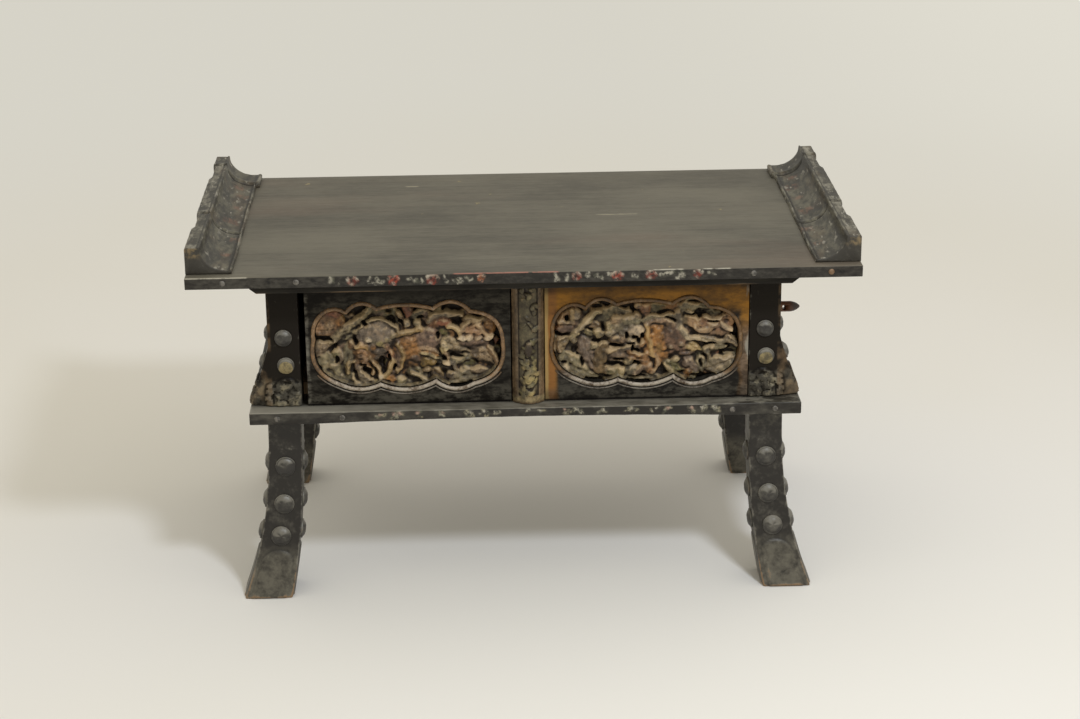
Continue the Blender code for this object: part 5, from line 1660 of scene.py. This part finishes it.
class Composition:
    """A carving drawn in millimetres along the table and up from the floor. The highest form shows."""

    def __init__(self, relief, paint, middle):
        self.relief = relief
        self.paint = paint
        self.middle = middle
        self.olive = mixed(paint.leaf, paint.moss, 0.5)
        self.grey = mixed(paint.leaf, paint.pale, 0.4)
        pink = mixed(paint.pale, paint.bloom, 0.4)
        blush = mixed(paint.bloom, paint.pale, 0.4)
        tan = mixed(paint.bloom, paint.coat, 0.3)
        brown = self.dim(mixed(paint.rust, paint.coat, 0.4), 0.45)
        self.makers = relief.leaf, relief.limb, relief.dome, relief.curl, self.dim
        self.tones = pink, blush, self.olive, tan, brown, self.grey

    def dim(self, colour, share):
        """A colour darkened towards brown, for forms dark with age and for painted shade under and between
        forms.
        """
        return mixed(colour, AGE_AND_SHADE, share)

    def pits(self, *places):
        """Black pockets between the forms, sunk and painted black as shade: the middle and half size of
        each.
        """
        for x, z, width, height in places:
            self.relief.sink((x, z), (1.15 * width, 1.15 * height), 2, (0.006, 0.004, 0.003))

    def undergrowth(self, seed):
        """Low leaves that fill the gaps between the other forms, darkened as painted shade in the gaps."""
        p = self.paint
        chance = np.random.default_rng(seed)
        tones = [self.dim(tone, 0.35) for tone in (p.moss, p.rust, p.leaf, p.haunch, self.olive, p.coat)]
        for u in np.arange(-80, 84, 11):
            for w in np.arange(202, 274, 10.5):
                place = np.array((self.middle + u, w)) + chance.uniform(-4, 4, 2)
                turn = chance.uniform(0, 2 * math.pi)
                reach = 9 * heading(turn)
                bend = np.array((-reach[1], reach[0])) * chance.choice((-0.35, 0.35))
                self.relief.leaf([place - reach, place + bend, place + reach], chance.uniform(3.5, 5.5),
                                 chance.uniform(6, 8.6), tones[chance.integers(len(tones))], 0.75, 4)


def left_forms(drawing):
    """The lion among peonies on the left drawer."""
    p = drawing.paint
    leaf, limb, dome, curl, dim = drawing.makers
    pink, blush, olive, tan, brown, grey = drawing.tones
    drawing.undergrowth(3)
    # Bud
    dome((-177, 259), (12, 13), 10.5, dim(tan, 0.25))
    leaf([(-188, 249), (-185, 258), (-178, 266)], 5.8, 12, p.bloom, 1)
    leaf([(-167, 251), (-167, 260), (-173, 268)], 4.8, 11.6, dim(p.coat, 0.2), 1)
    leaf([(-178, 250), (-177, 256), (-173, 263)], 4.4, 12.8, blush, 1)
    dome((-173, 268), (7, 3.2), 11, dim(p.rust, 0.3))
    # Painted shade under the bud.
    dome((-181, 250), (8, 3.6), 11, dim(p.bloom, 0.5))
    # Leaves and stem at the left end
    leaf([(-191, 224), (-185, 236), (-170, 242)], 6, 10.6, mixed(pink, p.mane, 0.3), 0.8)
    limb([(-175, 242), (-163, 253), (-148, 263)], 4.4, 11, mixed(p.pale, olive, 0.35))
    limb([(-150, 262), (-145, 266), (-139, 272)], 3.6, 10, mixed(p.pale, olive, 0.5))
    # A painted highlight along the stem's upper edge.
    limb([(-169, 248), (-162, 255), (-156, 260)], 1.7, 12, p.pale)
    dome((-173, 243.5), (2.8, 2.6), 12, mixed(p.pale, p.white, 0.3))
    leaf([(-186, 226), (-188, 212), (-175, 200)], 6.5, 9.4, dim(p.leaf, 0.45))
    leaf([(-178, 231), (-177, 213), (-156, 199)], 10, 10.5, grey, lobes=3)
    leaf([(-187, 204), (-176, 201), (-162, 197)], 4.2, 9.8, mixed(p.pale, p.mane, 0.4))
    dome((-171, 229), (4, 4), 9.6, dim(olive, 0.2))
    dome((-184.5, 206.5), (2.8, 2.3), 11.6, p.white)
    leaf([(-168, 234), (-168, 226), (-170, 218)], 3, 10.2, mixed(p.mane, pink, 0.5))
    leaf([(-158, 241), (-161, 226), (-162, 207)], 4.8, 9.8, mixed(olive, p.mane, 0.4))
    dome((-157, 238), (3, 4), 10.2, dim(tan, 0.25))
    leaf([(-165, 241), (-159, 249), (-151, 252)], 4.8, 9.8, grey)
    dome((-153, 251), (2.6, 2.2), 10.8, p.pale)
    limb([(-155, 222), (-160, 219), (-161, 212)], 1.8, 11.2, mixed(p.tail, p.bloom, 0.4))
    leaf([(-160, 213), (-158, 206), (-151, 198)], 3.8, 9.8, p.leaf)
    dome((-151, 217), (4.6, 4.6), 10.2, dim(mixed(p.mane, p.bloom, 0.3), 0.15))
    limb([(-157, 206), (-153, 202), (-149, 199)], 2, 10.8, p.pale)
    dome((-145, 204), (6, 5.5), 10.4, mixed(grey, p.mane, 0.5))
    leaf([(-147, 257), (-134, 266), (-117, 266)], 6, 7.5, dim(olive, 0.35))
    # Flowers over the back
    leaf([(-115, 269), (-112, 264), (-109, 259)], 2.5, 10.6, blush)
    leaf([(-106, 277), (-105.5, 270), (-106, 262)], 4.2, 10.2, dim(p.rust, 0.1))
    dome((-106.5, 258), (3, 3.6), 11.4, mixed(p.pale, p.white, 0.4))
    leaf([(-103, 261), (-97, 266), (-87, 270)], 4, 8.6, dim(p.leaf, 0.4))
    leaf([(-101, 255), (-97, 259), (-93, 264)], 2.5, 9.6, p.leaf)
    dome((-97, 256.5), (3.2, 2.8), 10.8, mixed(p.pale, p.leaf, 0.4))
    dome((-80, 258), (8.5, 6), 10.5, brown)
    dome((-73.5, 258), (6.5, 5), 11.6, p.rust)
    limb([(-87, 260), (-76, 265.5), (-57, 264)], 2.7, 10.4, dim(mixed(p.pale, p.mane, 0.5), 0.1))
    dome((-73, 249), (7.5, 4.5), 9, dim(p.moss, 0.2))
    dome((-66, 248), (3.6, 5), 9.6, dim(p.coat, 0.4))
    # Peony
    dome((-47, 249), (12, 9), 11, mixed(p.bloom, brown, 0.55))
    dome((-44, 259), (11, 4.2), 10, dim(mixed(olive, tan, 0.5), 0.3))
    dome((-32, 254), (5.5, 9), 10, dim(p.coat, 0.35))
    limb([(-69, 254), (-62, 252.5), (-59, 244)], 2.3, 12.8, mixed(p.tail, p.bloom, 0.4))
    limb([(-57, 249), (-55, 254), (-51, 258)], 1.9, 12.2, blush)
    limb([(-42, 254), (-38, 249), (-34, 245)], 2, 12.6, blush)
    limb([(-53, 248.5), (-46, 249.2), (-40, 248)], 1.7, 12, p.bloom)
    limb([(-48, 254), (-44, 255.5), (-40, 256)], 1.4, 12, dim(p.bloom, 0.15))
    # Painted shade under the lower petals, then painted highlights on their rims.
    dome((-47, 238.5), (14, 4.8), 11.6, dim(p.haunch, 0.35))
    for x, width, share in ((-57.5, 3.5, 0.9), (-50, 2.7, 0.8), (-42, 3.3, 0.55), (-32.5, 4.3, 0.7)):
        dome((x, 243.2), (width, 2.3), 14, mixed(p.bloom, p.white, share))
    # Leaves under the peony
    leaf([(-77, 240), (-66, 237), (-50, 229)], 6.2, 11.2, mixed(p.pale, p.bloom, 0.15))
    leaf([(-69, 219), (-57, 223), (-44, 225)], 4.4, 10.2, grey)
    leaf([(-66, 221), (-64, 215), (-60, 208)], 2.4, 10.6, mixed(p.pale, p.mane, 0.4))
    leaf([(-50, 226), (-38, 227), (-26, 215)], 7.2, 11.2, pink)
    limb([(-33, 234), (-28, 226), (-25, 217)], 1.9, 12, mixed(tan, p.pale, 0.3))
    leaf([(-69, 200), (-52, 207), (-30, 212)], 7.8, 10.8, mixed(p.leaf, p.mane, 0.4), lobes=3)
    dome((-43, 212), (7, 2.8), 11.4, mixed(pink, p.mane, 0.4))
    dome((-36, 206), (4, 2.2), 11.2, mixed(p.tail, p.leaf, 0.5))
    leaf([(-85, 215), (-79, 206), (-71, 198)], 5.2, 9.2, mixed(brown, olive, 0.5))
    dome((-67, 206), (5, 4), 9.6, dim(p.mane, 0.5))
    leaf([(-105, 218), (-98, 210), (-87, 203)], 6.8, 9.8, dim(mixed(olive, p.mane, 0.3), 0.15))
    limb([(-103, 210), (-95, 206), (-87, 200)], 2.1, 11.6, mixed(grey, p.pale, 0.4))
    dome((-89.5, 212.5), (3, 2.6), 11.2, pink)
    dome((-86.5, 201), (4.2, 3), 11.4, mixed(p.pale, p.tail, 0.3))
    leaf([(-129, 199), (-114, 203), (-102, 198)], 4.8, 10.2, mixed(p.leaf, p.mane, 0.4))
    dome((-113, 203), (5, 3.6), 11, grey)
    # Body and tail
    dome((-104, 235), (15, 17.5), 11.2, dim(p.coat, 0.1))
    dome((-104, 242), (7.5, 4.2), 12, mixed(p.bloom, p.coat, 0.5))
    limb([(-117, 247), (-105, 250), (-94, 252.5)], 2.7, 12.3, mixed(p.tail, p.coat, 0.45))
    dome((-89, 242), (11.5, 11.5), 12.2, p.haunch)
    dome((-100, 225), (6, 5), 11.6, dim(p.haunch, 0.4))
    leaf([(-99, 235), (-88, 234.5), (-78, 228)], 2.3, 13.2, mixed(p.coat, p.white, 0.5), 0.8, 0)
    leaf([(-98, 232.5), (-88, 231.5), (-78, 226)], 2, 12.3, p.coat, 0.8, 0)
    leaf([(-99, 230), (-88, 228), (-78, 223)], 2.5, 13.2, mixed(p.tail, p.white, 0.3), 0.8, 0)
    dome((-88, 220.5), (6.8, 4.2), 11.2, mixed(p.moss, p.coat, 0.35))
    leaf([(-75, 226), (-73.5, 235), (-73, 244)], 4, 12, p.tail, 0.9, 2)
    # Painted highlights on the tail.
    dome((-73.8, 238), (2.1, 2.8), 13.2, mixed(p.tail, p.white, 0.6))
    dome((-71.5, 233), (1.7, 3.2), 13, mixed(p.tail, p.white, 0.4))
    leaf([(-75, 232), (-71, 226), (-69, 221)], 2.5, 11.8, blush)
    dome((-71, 219), (3.3, 2.3), 12.6, p.white)
    # Head
    dome((-133, 247), (16.8, 13.5), 12.6, dim(p.mane, 0.12), strands=40)
    drawing.relief.arc((-133, 247.5), (18.6, 15), (12, 172), 1.3, 12.7, mixed(grey, p.pale, 0.3))
    dome((-141.8, 243.2), (2.7, 2.4), 14.4, dim(p.white, 0.1))
    for x, z, radius, tone in (
            (-149, 239, 3.4, dim(tan, 0.1)), (-131, 239.5, 3.6, mixed(p.tail, p.moss, 0.5)),
            (-136, 242.5, 2.8, grey), (-125, 243.5, 3.2, mixed(grey, p.tail, 0.3)), (-119, 246, 2.8, grey),
            (-144, 237, 2.6, mixed(p.coat, p.tail, 0.3)), (-137, 236, 2.6, dim(p.coat, 0.2)),
            (-127, 238, 2.4, mixed(p.tail, p.bloom, 0.5))):
        curl((x, z), radius, 13, tone, 1 if radius > 3 else -1)
    # Ground of the face, darkened as painted shade between the features; so are the dark domes and the
    # haunch limb below.
    dome((-143, 231), (13, 11), 11, dim(p.coat, 0.6))
    limb([(-153, 236), (-148, 237), (-143, 234)], 1.9, 12.6, mixed(p.coat, p.tail, 0.5))
    limb([(-151, 232), (-147, 232), (-144, 228)], 1.9, 12.4, tan)
    limb([(-150, 227.5), (-147, 227), (-144, 224)], 1.9, 12.2, mixed(tan, p.mane, 0.4))
    limb([(-141, 236), (-134, 232), (-127, 233)], 2.4, 11.8, dim(p.mane, 0.5))
    dome((-133, 228), (7, 6), 10.8, dim(p.mane, 0.75))
    limb([(-126, 239), (-123, 234), (-121, 229)], 2.3, 12.4, mixed(p.bloom, p.rust, 0.3))
    dome((-121, 227), (4, 4.5), 11, dim(p.rust, 0.6))
    limb([(-140, 226), (-136, 219), (-131, 211)], 1.9, 12.6, mixed(p.bloom, p.tail, 0.3))
    limb([(-147, 222), (-142, 217), (-138, 211)], 1.9, 11.8, dim(tan, 0.25))
    limb([(-151, 213), (-147, 208), (-140, 205)], 2.1, 11.2, mixed(p.mane, p.pale, 0.4))
    dome((-131, 207.5), (2.8, 2.6), 13.2, p.white)
    limb([(-119.5, 223), (-123, 215), (-128, 207)], 2.3, 12.8, dim(mixed(p.tail, p.coat, 0.35), 0.22))
    dome((-124.5, 206), (6.5, 4.2), 11.6, dim(p.coat, 0.1))
    dome((-136, 201.5), (4.6, 3.4), 10.8, mixed(p.tail, olive, 0.5))
    limb([(-116, 241), (-114, 228), (-119, 212)], 4.6, 10.8, dim(p.haunch, 0.6))
    limb([(-116, 238), (-110.5, 226), (-116, 211)], 1.8, 12.6, dim(mixed(p.tail, p.coat, 0.4), 0.3))
    leaf([(-155, 226), (-152, 219), (-151, 210)], 2.6, 10.6, dim(tan, 0.35))
    drawing.pits(
        (-130, 221, 2.4, 6), (-143, 213, 4.4, 3.2), (-147.5, 219.4, 3.2, 1.1), (-122.5, 225, 1, 4.2),
        (-140.5, 201.5, 1.1, 2.4), (-119, 217, 1, 4.4), (-154, 268.5, 9, 3), (-181, 244, 7, 2),
        (-62, 225.3, 7, 1.6), (-65, 270.5, 11, 2.6), (-58, 198, 9, 1.5), (-145, 259, 2.8, 2.6),
        (-123, 268.5, 3.2, 1.8), (-186, 212, 1.3, 3.2), (-94, 262, 3, 2), (-43, 263.5, 5, 1.4),
        (-30, 237, 2.4, 3.5), (-112, 198.4, 3, 1), (-171, 224, 1.4, 4), (-154, 243, 1.4, 4),
        (-126, 202.4, 3.5, 1.2), (-79, 245, 1.6, 3))


def right_forms(drawing):
    """The lion among peonies on the right drawer."""
    p = drawing.paint
    leaf, limb, dome, curl, dim = drawing.makers
    pink, blush, olive, tan, brown, grey = drawing.tones
    drawing.undergrowth(8)
    # Bud
    dome((42, 256), (11.5, 11.5), 9.6, dim(p.haunch, 0.25))
    leaf([(32, 249), (34, 258), (40, 266)], 3.8, 11.2, tan, 1)
    limb([(42, 268), (42.6, 262), (42, 256)], 2.4, 12, mixed(p.tail, p.bloom, 0.5))
    limb([(31, 256), (37, 256.4), (44, 254.5)], 2.1, 11.8, blush)
    dome((47, 262), (4.2, 5.2), 10.8, mixed(p.mane, p.pale, 0.3))
    dome((38, 249.5), (8.5, 3.6), 10.6, dim(p.haunch, 0.35))
    # Leaves and stem at the left end
    limb([(43, 241), (53, 253), (66, 265)], 4.2, 11, mixed(p.pale, p.tail, 0.3))
    # A painted highlight along the stem's upper edge.
    limb([(47, 247), (53, 253), (59, 260)], 1.8, 12.2, mixed(p.pale, p.white, 0.3))
    dome((44, 239), (3.2, 3.2), 11.2, p.pale)
    leaf([(29, 225), (33, 236), (44, 241)], 5.8, 10.4, mixed(pink, olive, 0.25), 0.8)
    limb([(31.5, 241), (30, 234), (32, 228)], 1.7, 11.6, pink)
    leaf([(33, 223), (34, 212), (44, 202)], 5.2, 9.4, dim(p.leaf, 0.4))
    leaf([(35, 228), (44, 214), (66, 202)], 8.8, 10.6, mixed(p.leaf, p.pale, 0.3), lobes=3)
    dome((35, 212.5), (3.5, 2), 11.8, p.white)
    leaf([(52, 242), (57, 226), (67, 205)], 6.8, 10, mixed(p.mane, p.haunch, 0.4))
    # A painted highlight on the mauve leaf.
    dome((63, 233), (2.5, 4.2), 11, mixed(grey, p.pale, 0.4))
    leaf([(50, 247), (58, 245), (65, 242)], 3.2, 10.2, mixed(p.tail, olive, 0.4))
    leaf([(57, 250), (64, 252.5), (71, 246)], 3.8, 10.6, mixed(tan, olive, 0.4))
    dome((67, 245), (4.4, 4.2), 11.8, mixed(p.pale, p.tail, 0.4))
    leaf([(64, 257), (76, 262), (92, 263)], 5.8, 8.6, dim(p.leaf, 0.35))
    leaf([(76, 267), (88, 266), (99, 262)], 3.6, 8.2, dim(grey, 0.3))
    # Flowers over the back
    dome((103, 270), (3.2, 4.2), 9.8, p.bloom)
    dome((110, 266), (4.4, 4.8), 10.2, mixed(p.rust, p.bloom, 0.5))
    dome((102, 260.5), (3.2, 3), 11.4, mixed(p.pale, p.bloom, 0.4))
    leaf([(111, 265), (122, 268), (136, 264)], 3.8, 7.6, dim(p.moss, 0.3))
    limb([(107, 256), (122, 261), (141, 258)], 2.5, 10.8, mixed(grey, p.pale, 0.4))
    limb([(111, 252), (122, 255.5), (135, 252)], 3.2, 11.2, mixed(p.bloom, p.mane, 0.4))
    limb([(139, 263), (141, 255), (137, 247)], 3.6, 10.6, mixed(p.pale, p.mane, 0.5))
    leaf([(140, 261), (154, 271), (174, 262)], 5.2, 10.2, grey)
    dome((150, 264), (3.2, 2.2), 11.2, p.pale)
    # Peony
    dome((146, 254), (4.8, 5.8), 9.2, dim(mixed(olive, tan, 0.4), 0.35))
    dome((171, 249), (16, 8.8), 11, dim(mixed(p.bloom, p.rust, 0.35), 0.1))
    leaf([(149, 259), (155, 252), (164, 246)], 5.2, 11.6, mixed(tan, p.pale, 0.3))
    limb([(156, 247.5), (163, 246), (169, 248)], 2.7, 12.8, blush)
    limb([(179, 252), (183, 247.5), (188, 246)], 2.1, 13.2, mixed(p.bloom, p.white, 0.5))
    limb([(163, 258.5), (170, 256), (179, 256.5)], 1.8, 12.2, mixed(p.bloom, p.pale, 0.3))
    leaf([(180, 256), (187, 258), (188, 248)], 4.2, 11.8, tan)
    dome((172, 250), (6, 3.4), 12.2, mixed(p.bloom, p.haunch, 0.4))
    # Painted shade under the peony.
    dome((172, 243), (13, 3), 10.8, dim(p.bloom, 0.35))
    # Leaves under the peony
    limb([(142, 248), (148, 241), (159, 237.5)], 3, 12.8, mixed(p.pale, p.white, 0.35))
    leaf([(150, 241), (168, 236), (191, 235)], 3.8, 12, mixed(p.pale, p.mane, 0.2))
    leaf([(181, 238), (188, 235.5), (194, 228)], 3.8, 12.4, mixed(pink, p.pale, 0.4))
    leaf([(146, 236), (152, 230), (163, 226)], 4.4, 11.8, mixed(p.tail, tan, 0.3))
    leaf([(165, 226), (174, 229), (187, 229)], 4.2, 10.8, grey)
    dome((170, 228.5), (2.8, 2.4), 11.6, p.pale)
    limb([(165, 229), (167, 221), (170, 214)], 2.5, 10.6, mixed(grey, p.mane, 0.3))
    leaf([(165, 207), (178, 213), (196, 219)], 7.4, 11.2, mixed(p.pale, p.mane, 0.3), lobes=3)
    dome((187.5, 213), (2.4, 2.2), 12.2, mixed(p.tail, p.white, 0.5))
    leaf([(146, 221), (151, 213), (159, 204)], 4.8, 10.6, mixed(p.mane, p.haunch, 0.4))
    leaf([(160, 221), (161, 212), (163, 204)], 4.2, 10.4, mixed(p.leaf, p.mane, 0.3))
    dome((149, 204), (4.2, 4.2), 9.6, dim(p.coat, 0.35))
    dome((156, 203), (4.2, 3.2), 9.8, dim(olive, 0.2))
    leaf([(125, 217), (134, 212), (146, 208)], 5.2, 11.2, mixed(p.moss, p.leaf, 0.3))
    limb([(127, 214), (134, 206), (146, 199)], 1.9, 12.2, mixed(p.pale, p.tail, 0.3))
    dome((137, 218), (3.2, 2.5), 11.6, mixed(p.leaf, p.pale, 0.4))
    dome((146, 224), (9, 3.5), 9.8, dim(p.haunch, 0.5))
    leaf([(99, 199), (114, 202), (129, 199)], 3.8, 10.2, mixed(p.leaf, p.mane, 0.4))
    # Body and forelegs
    dome((120, 234), (12.5, 18), 11.4, dim(p.coat, 0.05))
    dome((122, 230), (5, 7), 12, mixed(p.coat, p.moss, 0.35))
    dome((137, 238), (13.5, 13.5), 12, mixed(brown, p.haunch, 0.6))
    limb([(111, 251), (113, 236), (117.5, 221)], 2.1, 12.8, mixed(p.coat, p.tail, 0.5))
    limb([(112, 225), (110, 216), (114, 208)], 4.2, 11.8, mixed(p.coat, p.bloom, 0.4))
    limb([(118, 223), (121, 214), (115, 206)], 2.3, 12.6, mixed(p.bloom, p.pale, 0.3))
    limb([(114, 213), (106, 210), (99, 204)], 2.7, 12, mixed(p.mane, p.bloom, 0.4))
    dome((132, 231), (2.6, 2.2), 13, mixed(p.haunch, p.pale, 0.5))
    dome((143, 233), (2.4, 2.2), 12.8, dim(mixed(p.haunch, p.pale, 0.4), 0.1))
    # Head
    dome((91, 248), (17, 12.5), 11.6, dim(mixed(p.leaf, p.mane, 0.3), 0.4), strands=36)
    dome((95, 256), (10, 5), 12.4, mixed(grey, p.leaf, 0.3))
    dome((83, 257), (5, 3), 12, mixed(p.pale, tan, 0.4))
    leaf([(76, 243), (76.5, 250), (77, 256)], 2.6, 12.8, mixed(p.tail, p.pale, 0.5))
    leaf([(83, 244), (83, 250), (85, 256)], 2.7, 13, p.pale)
    leaf([(88, 243), (89, 249), (92, 254)], 2.5, 13, mixed(p.pale, grey, 0.5))
    dome((75.5, 244), (3.2, 2.5), 12.8, p.pale)
    for x, z, radius in ((80, 246, 2.4), (87, 244.5, 2.4), (92, 248, 2.4), (97, 251, 2.6), (91, 243, 2.2)):
        curl((x, z), radius, 13, mixed(p.mane, p.pale, 0.4), -1)
    # Ground of the face, darkened as painted shade between the features; so are the dark domes below the
    # eyes.
    dome((86, 228), (14, 12), 11, dim(mixed(p.mane, tan, 0.3), 0.68))
    dome((82, 239), (5.2, 3.3), 12.8, blush)
    dome((84.2, 238.2), (1.7, 1.4), 13.6, (0.01, 0.008, 0.006))
    dome((89, 239), (3, 2.6), 13, dim(mixed(p.bloom, p.white, 0.2), 0.2))
    dome((96, 246), (3.2, 3), 13.6, mixed(p.bloom, p.white, 0.6))
    dome((103, 246), (4.8, 5.8), 14.4, mixed(p.white, p.bloom, 0.3))
    dome((96.5, 238), (2.9, 2.5), 13.2, mixed(p.mane, p.white, 0.4))
    dome((93, 230.5), (6.6, 4), 12.6, dim(p.mane, 0.62))
    dome((101, 232), (4.2, 6), 11.8, dim(p.mane, 0.6))
    dome((78.5, 228), (4.2, 2.1), 12.4, mixed(p.pale, tan, 0.3))
    dome((85, 223.5), (7, 4.8), 11.8, dim(mixed(p.mane, p.bloom, 0.3), 0.4))
    dome((106, 233), (3.2, 2.6), 12.2, tan)
    limb([(96, 226), (103, 224.5), (109, 222)], 2.7, 12.2, mixed(p.coat, p.bloom, 0.4))
    limb([(96, 221), (102, 219.5), (107, 216)], 2.2, 11.8, dim(mixed(p.coat, p.bloom, 0.3), 0.2))
    dome((94, 217), (3.5, 2.7), 12.6, mixed(p.tail, p.pale, 0.4))
    dome((79, 207.5), (9.5, 5.8), 10.8, dim(olive, 0.45))
    for x, tone in ((65, 0.25), (68.5, 0.05), (72.5, 0.2)):
        limb([(x + 4, 234), (x, 221), (x + 1, 207)], 2.4, 10.4, dim(mixed(olive, brown, 0.5), tone))
    dome((88.5, 208.5), (3.1, 4.6), 12.4, mixed(p.pale, p.tail, 0.3))
    dome((97, 207), (8.2, 6.6), 10.8, mixed(p.leaf, p.mane, 0.3), strands=14)
    drawing.pits(
        (83, 233.4, 5.8, 1.7), (107, 242, 1.5, 3), (96.5, 234.6, 3.4, 1.3), (81, 214.6, 8.4, 2.2),
        (100, 240.3, 4.4, 1.4), (86, 219.4, 5.6, 1.3), (104.4, 236.6, 1.6, 3.2), (98, 229, 1.2, 3.4),
        (88.5, 213.2, 2.4, 1), (76, 203.6, 3.5, 1), (92.5, 243, 1.2, 3.4), (71, 250, 1.6, 3.5),
        (100.5, 228, 4, 1.2), (35, 244, 5, 1.4), (38.5, 260, 1.4, 2.4), (63.5, 237.4, 2.6, 1.2),
        (66, 269.5, 6, 2), (92, 269.5, 6, 1.8), (126, 263.4, 6, 1.2), (160, 261, 5, 1.9),
        (156, 273, 9, 1.3), (172, 254.4, 5, 0.9), (168, 233, 7, 1.2), (185, 224, 7, 1.2),
        (102, 203, 8, 1.6), (35, 217, 3.4, 0.9), (160, 201.5, 9, 1.8), (64, 200.5, 6, 1.2),
        (45, 229, 2.6, 3), (178, 265, 5, 1.4), (191, 241, 1.6, 3), (160, 213, 1, 4), (52, 217, 1.2, 4))


class READING_OT_nails(bpy.types.Operator):
    """Set the nail heads in the front edges of the top and the shelf"""
    bl_idname = "reading.nails"
    bl_label = "Nails"

    def execute(self, context):
        settings = table_settings(context)
        rise = settings.sizes.nail_rise
        finish = Finish("nail_iron", metallic=0.55)
        noise, step, mix = finish.makers
        rust = noise(300, 5)
        pit = noise(1200, 3)
        iron = settings.lacquer.iron
        x, _, z = finish.axes()
        copper = step(x, 0.24, 0.25) * step(z, 0.25, 0.26)
        pale = mixed(iron, (0.24, 0.22, 0.19), 0.5)
        colour = mix(step(rust, 0.42, 0.56), mixed(iron, (0.05, 0.045, 0.04), 0.5), pale)
        colour = mix(copper * 0.6, colour, (0.26, 0.14, 0.06))
        material = finish.done(colour, 0.45 + rust * 0.25, rust * 0.5 + pit * 0.4, 0.0003, 0.7)
        radius = 2.7 * MM
        for row in ("top_edge_nail", "shelf_edge_nail"):
            nodes = [f"{row}_{number}" for number in range(1, 5)]
            outline = [(0, -6 * MM), (1 * MM, -6 * MM), (1.1 * MM, -0.6 * MM), (radius, -0.5 * MM),
                       (radius, 0.1 * MM), (radius * 0.85, 0.55 * rise), (radius * 0.5, 0.9 * rise),
                       (0, rise)]
            seats = []
            for node in nodes:
                low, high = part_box(node)
                seats.append(facing(((low.x + high.x) / 2, low.y, (low.z + high.z) / 2), (0, -1, 0)))
            mesh = mesh_of(row, many(turned(outline, 18), seats), 50)
            piece(row + "s", mesh, material, "table", nodes)
        return {"FINISHED"}


class READING_OT_peg(bpy.types.Operator):
    """Shape the pointed peg in the right end"""
    bl_idname = "reading.peg"
    bl_label = "Side peg"

    def execute(self, context):
        settings = table_settings(context)
        low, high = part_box("side_peg")
        middle = (low + high) / 2
        face = high.x - 0.038
        outline = [(0, low.x - face), (3.8 * MM, low.x - face), (3.8 * MM, 0.2 * MM), (4.7 * MM, 0.4 * MM),
                   (5.1 * MM, 1.4 * MM), (5.1 * MM, 29 * MM), (4.4 * MM, 32 * MM), (3.3 * MM, 34.6 * MM),
                   (1.4 * MM, 37.2 * MM), (0, high.x - face)]
        bm = turned(outline, 32)
        bmesh.ops.transform(bm, matrix=facing((face, middle.y, middle.z), (1, 0, 0)), verts=bm.verts[:])
        mesh = mesh_of("peg", bm, 35)
        finish = Finish("peg_wood")
        noise, step, mix = finish.makers
        grain = noise(260, 5, (0.12, 1, 1))
        scuff = noise(500, 4)
        x = finish.axes()[0]
        tip = step(x + (scuff - 0.5) * 0.006, high.x - 0.012, high.x - 0.005)
        peg = settings.lacquer.peg
        colour = mix(step(grain, 0.36, 0.64), mixed(peg, BLACK, 0.5), peg)
        colour = mix(tip * 0.85, colour, settings.lacquer.black)
        material = finish.done(colour, 0.42 + scuff * 0.15, grain * 0.6 + scuff * 0.3, 0.0003, 0.6)
        obj = piece("peg", mesh, material, "peg", ["side_peg"])
        self.cut_eye(obj, face, middle)
        return {"FINISHED"}

    def cut_eye(self, obj, face, middle):
        bm = block((face + 20.5 * MM, middle.y - 0.012, middle.z - 2.5 * MM),
                   (face + 23.5 * MM, middle.y + 0.012, middle.z + 2.5 * MM), (1, 1, 1), 0.8 * MM)
        cutter = placed("eye_cutter", mesh_of("eye_cutter", bm))
        boolean = obj.modifiers.new("eye", "BOOLEAN")
        boolean.operation = "DIFFERENCE"
        boolean.solver = "EXACT"
        boolean.object = cutter
        cut = baked(obj)
        obj.modifiers.clear()
        obj.data = cut
        bpy.data.objects.remove(cutter)


class READING_PT_panel(bpy.types.Panel):
    """Lists the pieces of the table"""
    bl_label = "Reading table"
    bl_idname = "READING_PT_panel"
    bl_space_type = "VIEW_3D"
    bl_region_type = "UI"
    bl_category = "Reading table"

    def draw(self, context):
        for operator in OPERATORS:
            self.layout.operator(operator.bl_idname)
        settings = table_settings(context)
        for group in (settings.lacquer, settings.paint, settings.sizes, settings.stage):
            box = self.layout.box()
            for name in group.__annotations__:
                box.prop(group, name)


OPERATORS = (
    READING_OT_camera, READING_OT_stage, READING_OT_top, READING_OT_plain_boards, READING_OT_stops,
    READING_OT_shelf, READING_OT_posts, READING_OT_legs, READING_OT_bosses, READING_OT_strut,
    READING_OT_fronts, READING_OT_carvings, READING_OT_nails, READING_OT_peg,
)
GROUPS = (LacquerColours, PaintColours, TableSizes, StageSettings, ReadingTable)
CLASSES = (*GROUPS, *OPERATORS, READING_PT_panel)


def register():
    for cls in CLASSES:
        bpy.utils.register_class(cls)
    bpy.types.Scene.reading_table = PointerProperty(type=ReadingTable)


def unregister():
    del bpy.types.Scene.reading_table
    for cls in reversed(CLASSES):
        bpy.utils.unregister_class(cls)


def main():
    register()
    for operator in OPERATORS:
        group, name = operator.bl_idname.split(".")
        getattr(getattr(bpy.ops, group), name)()


if __name__ == "__main__":
    main()
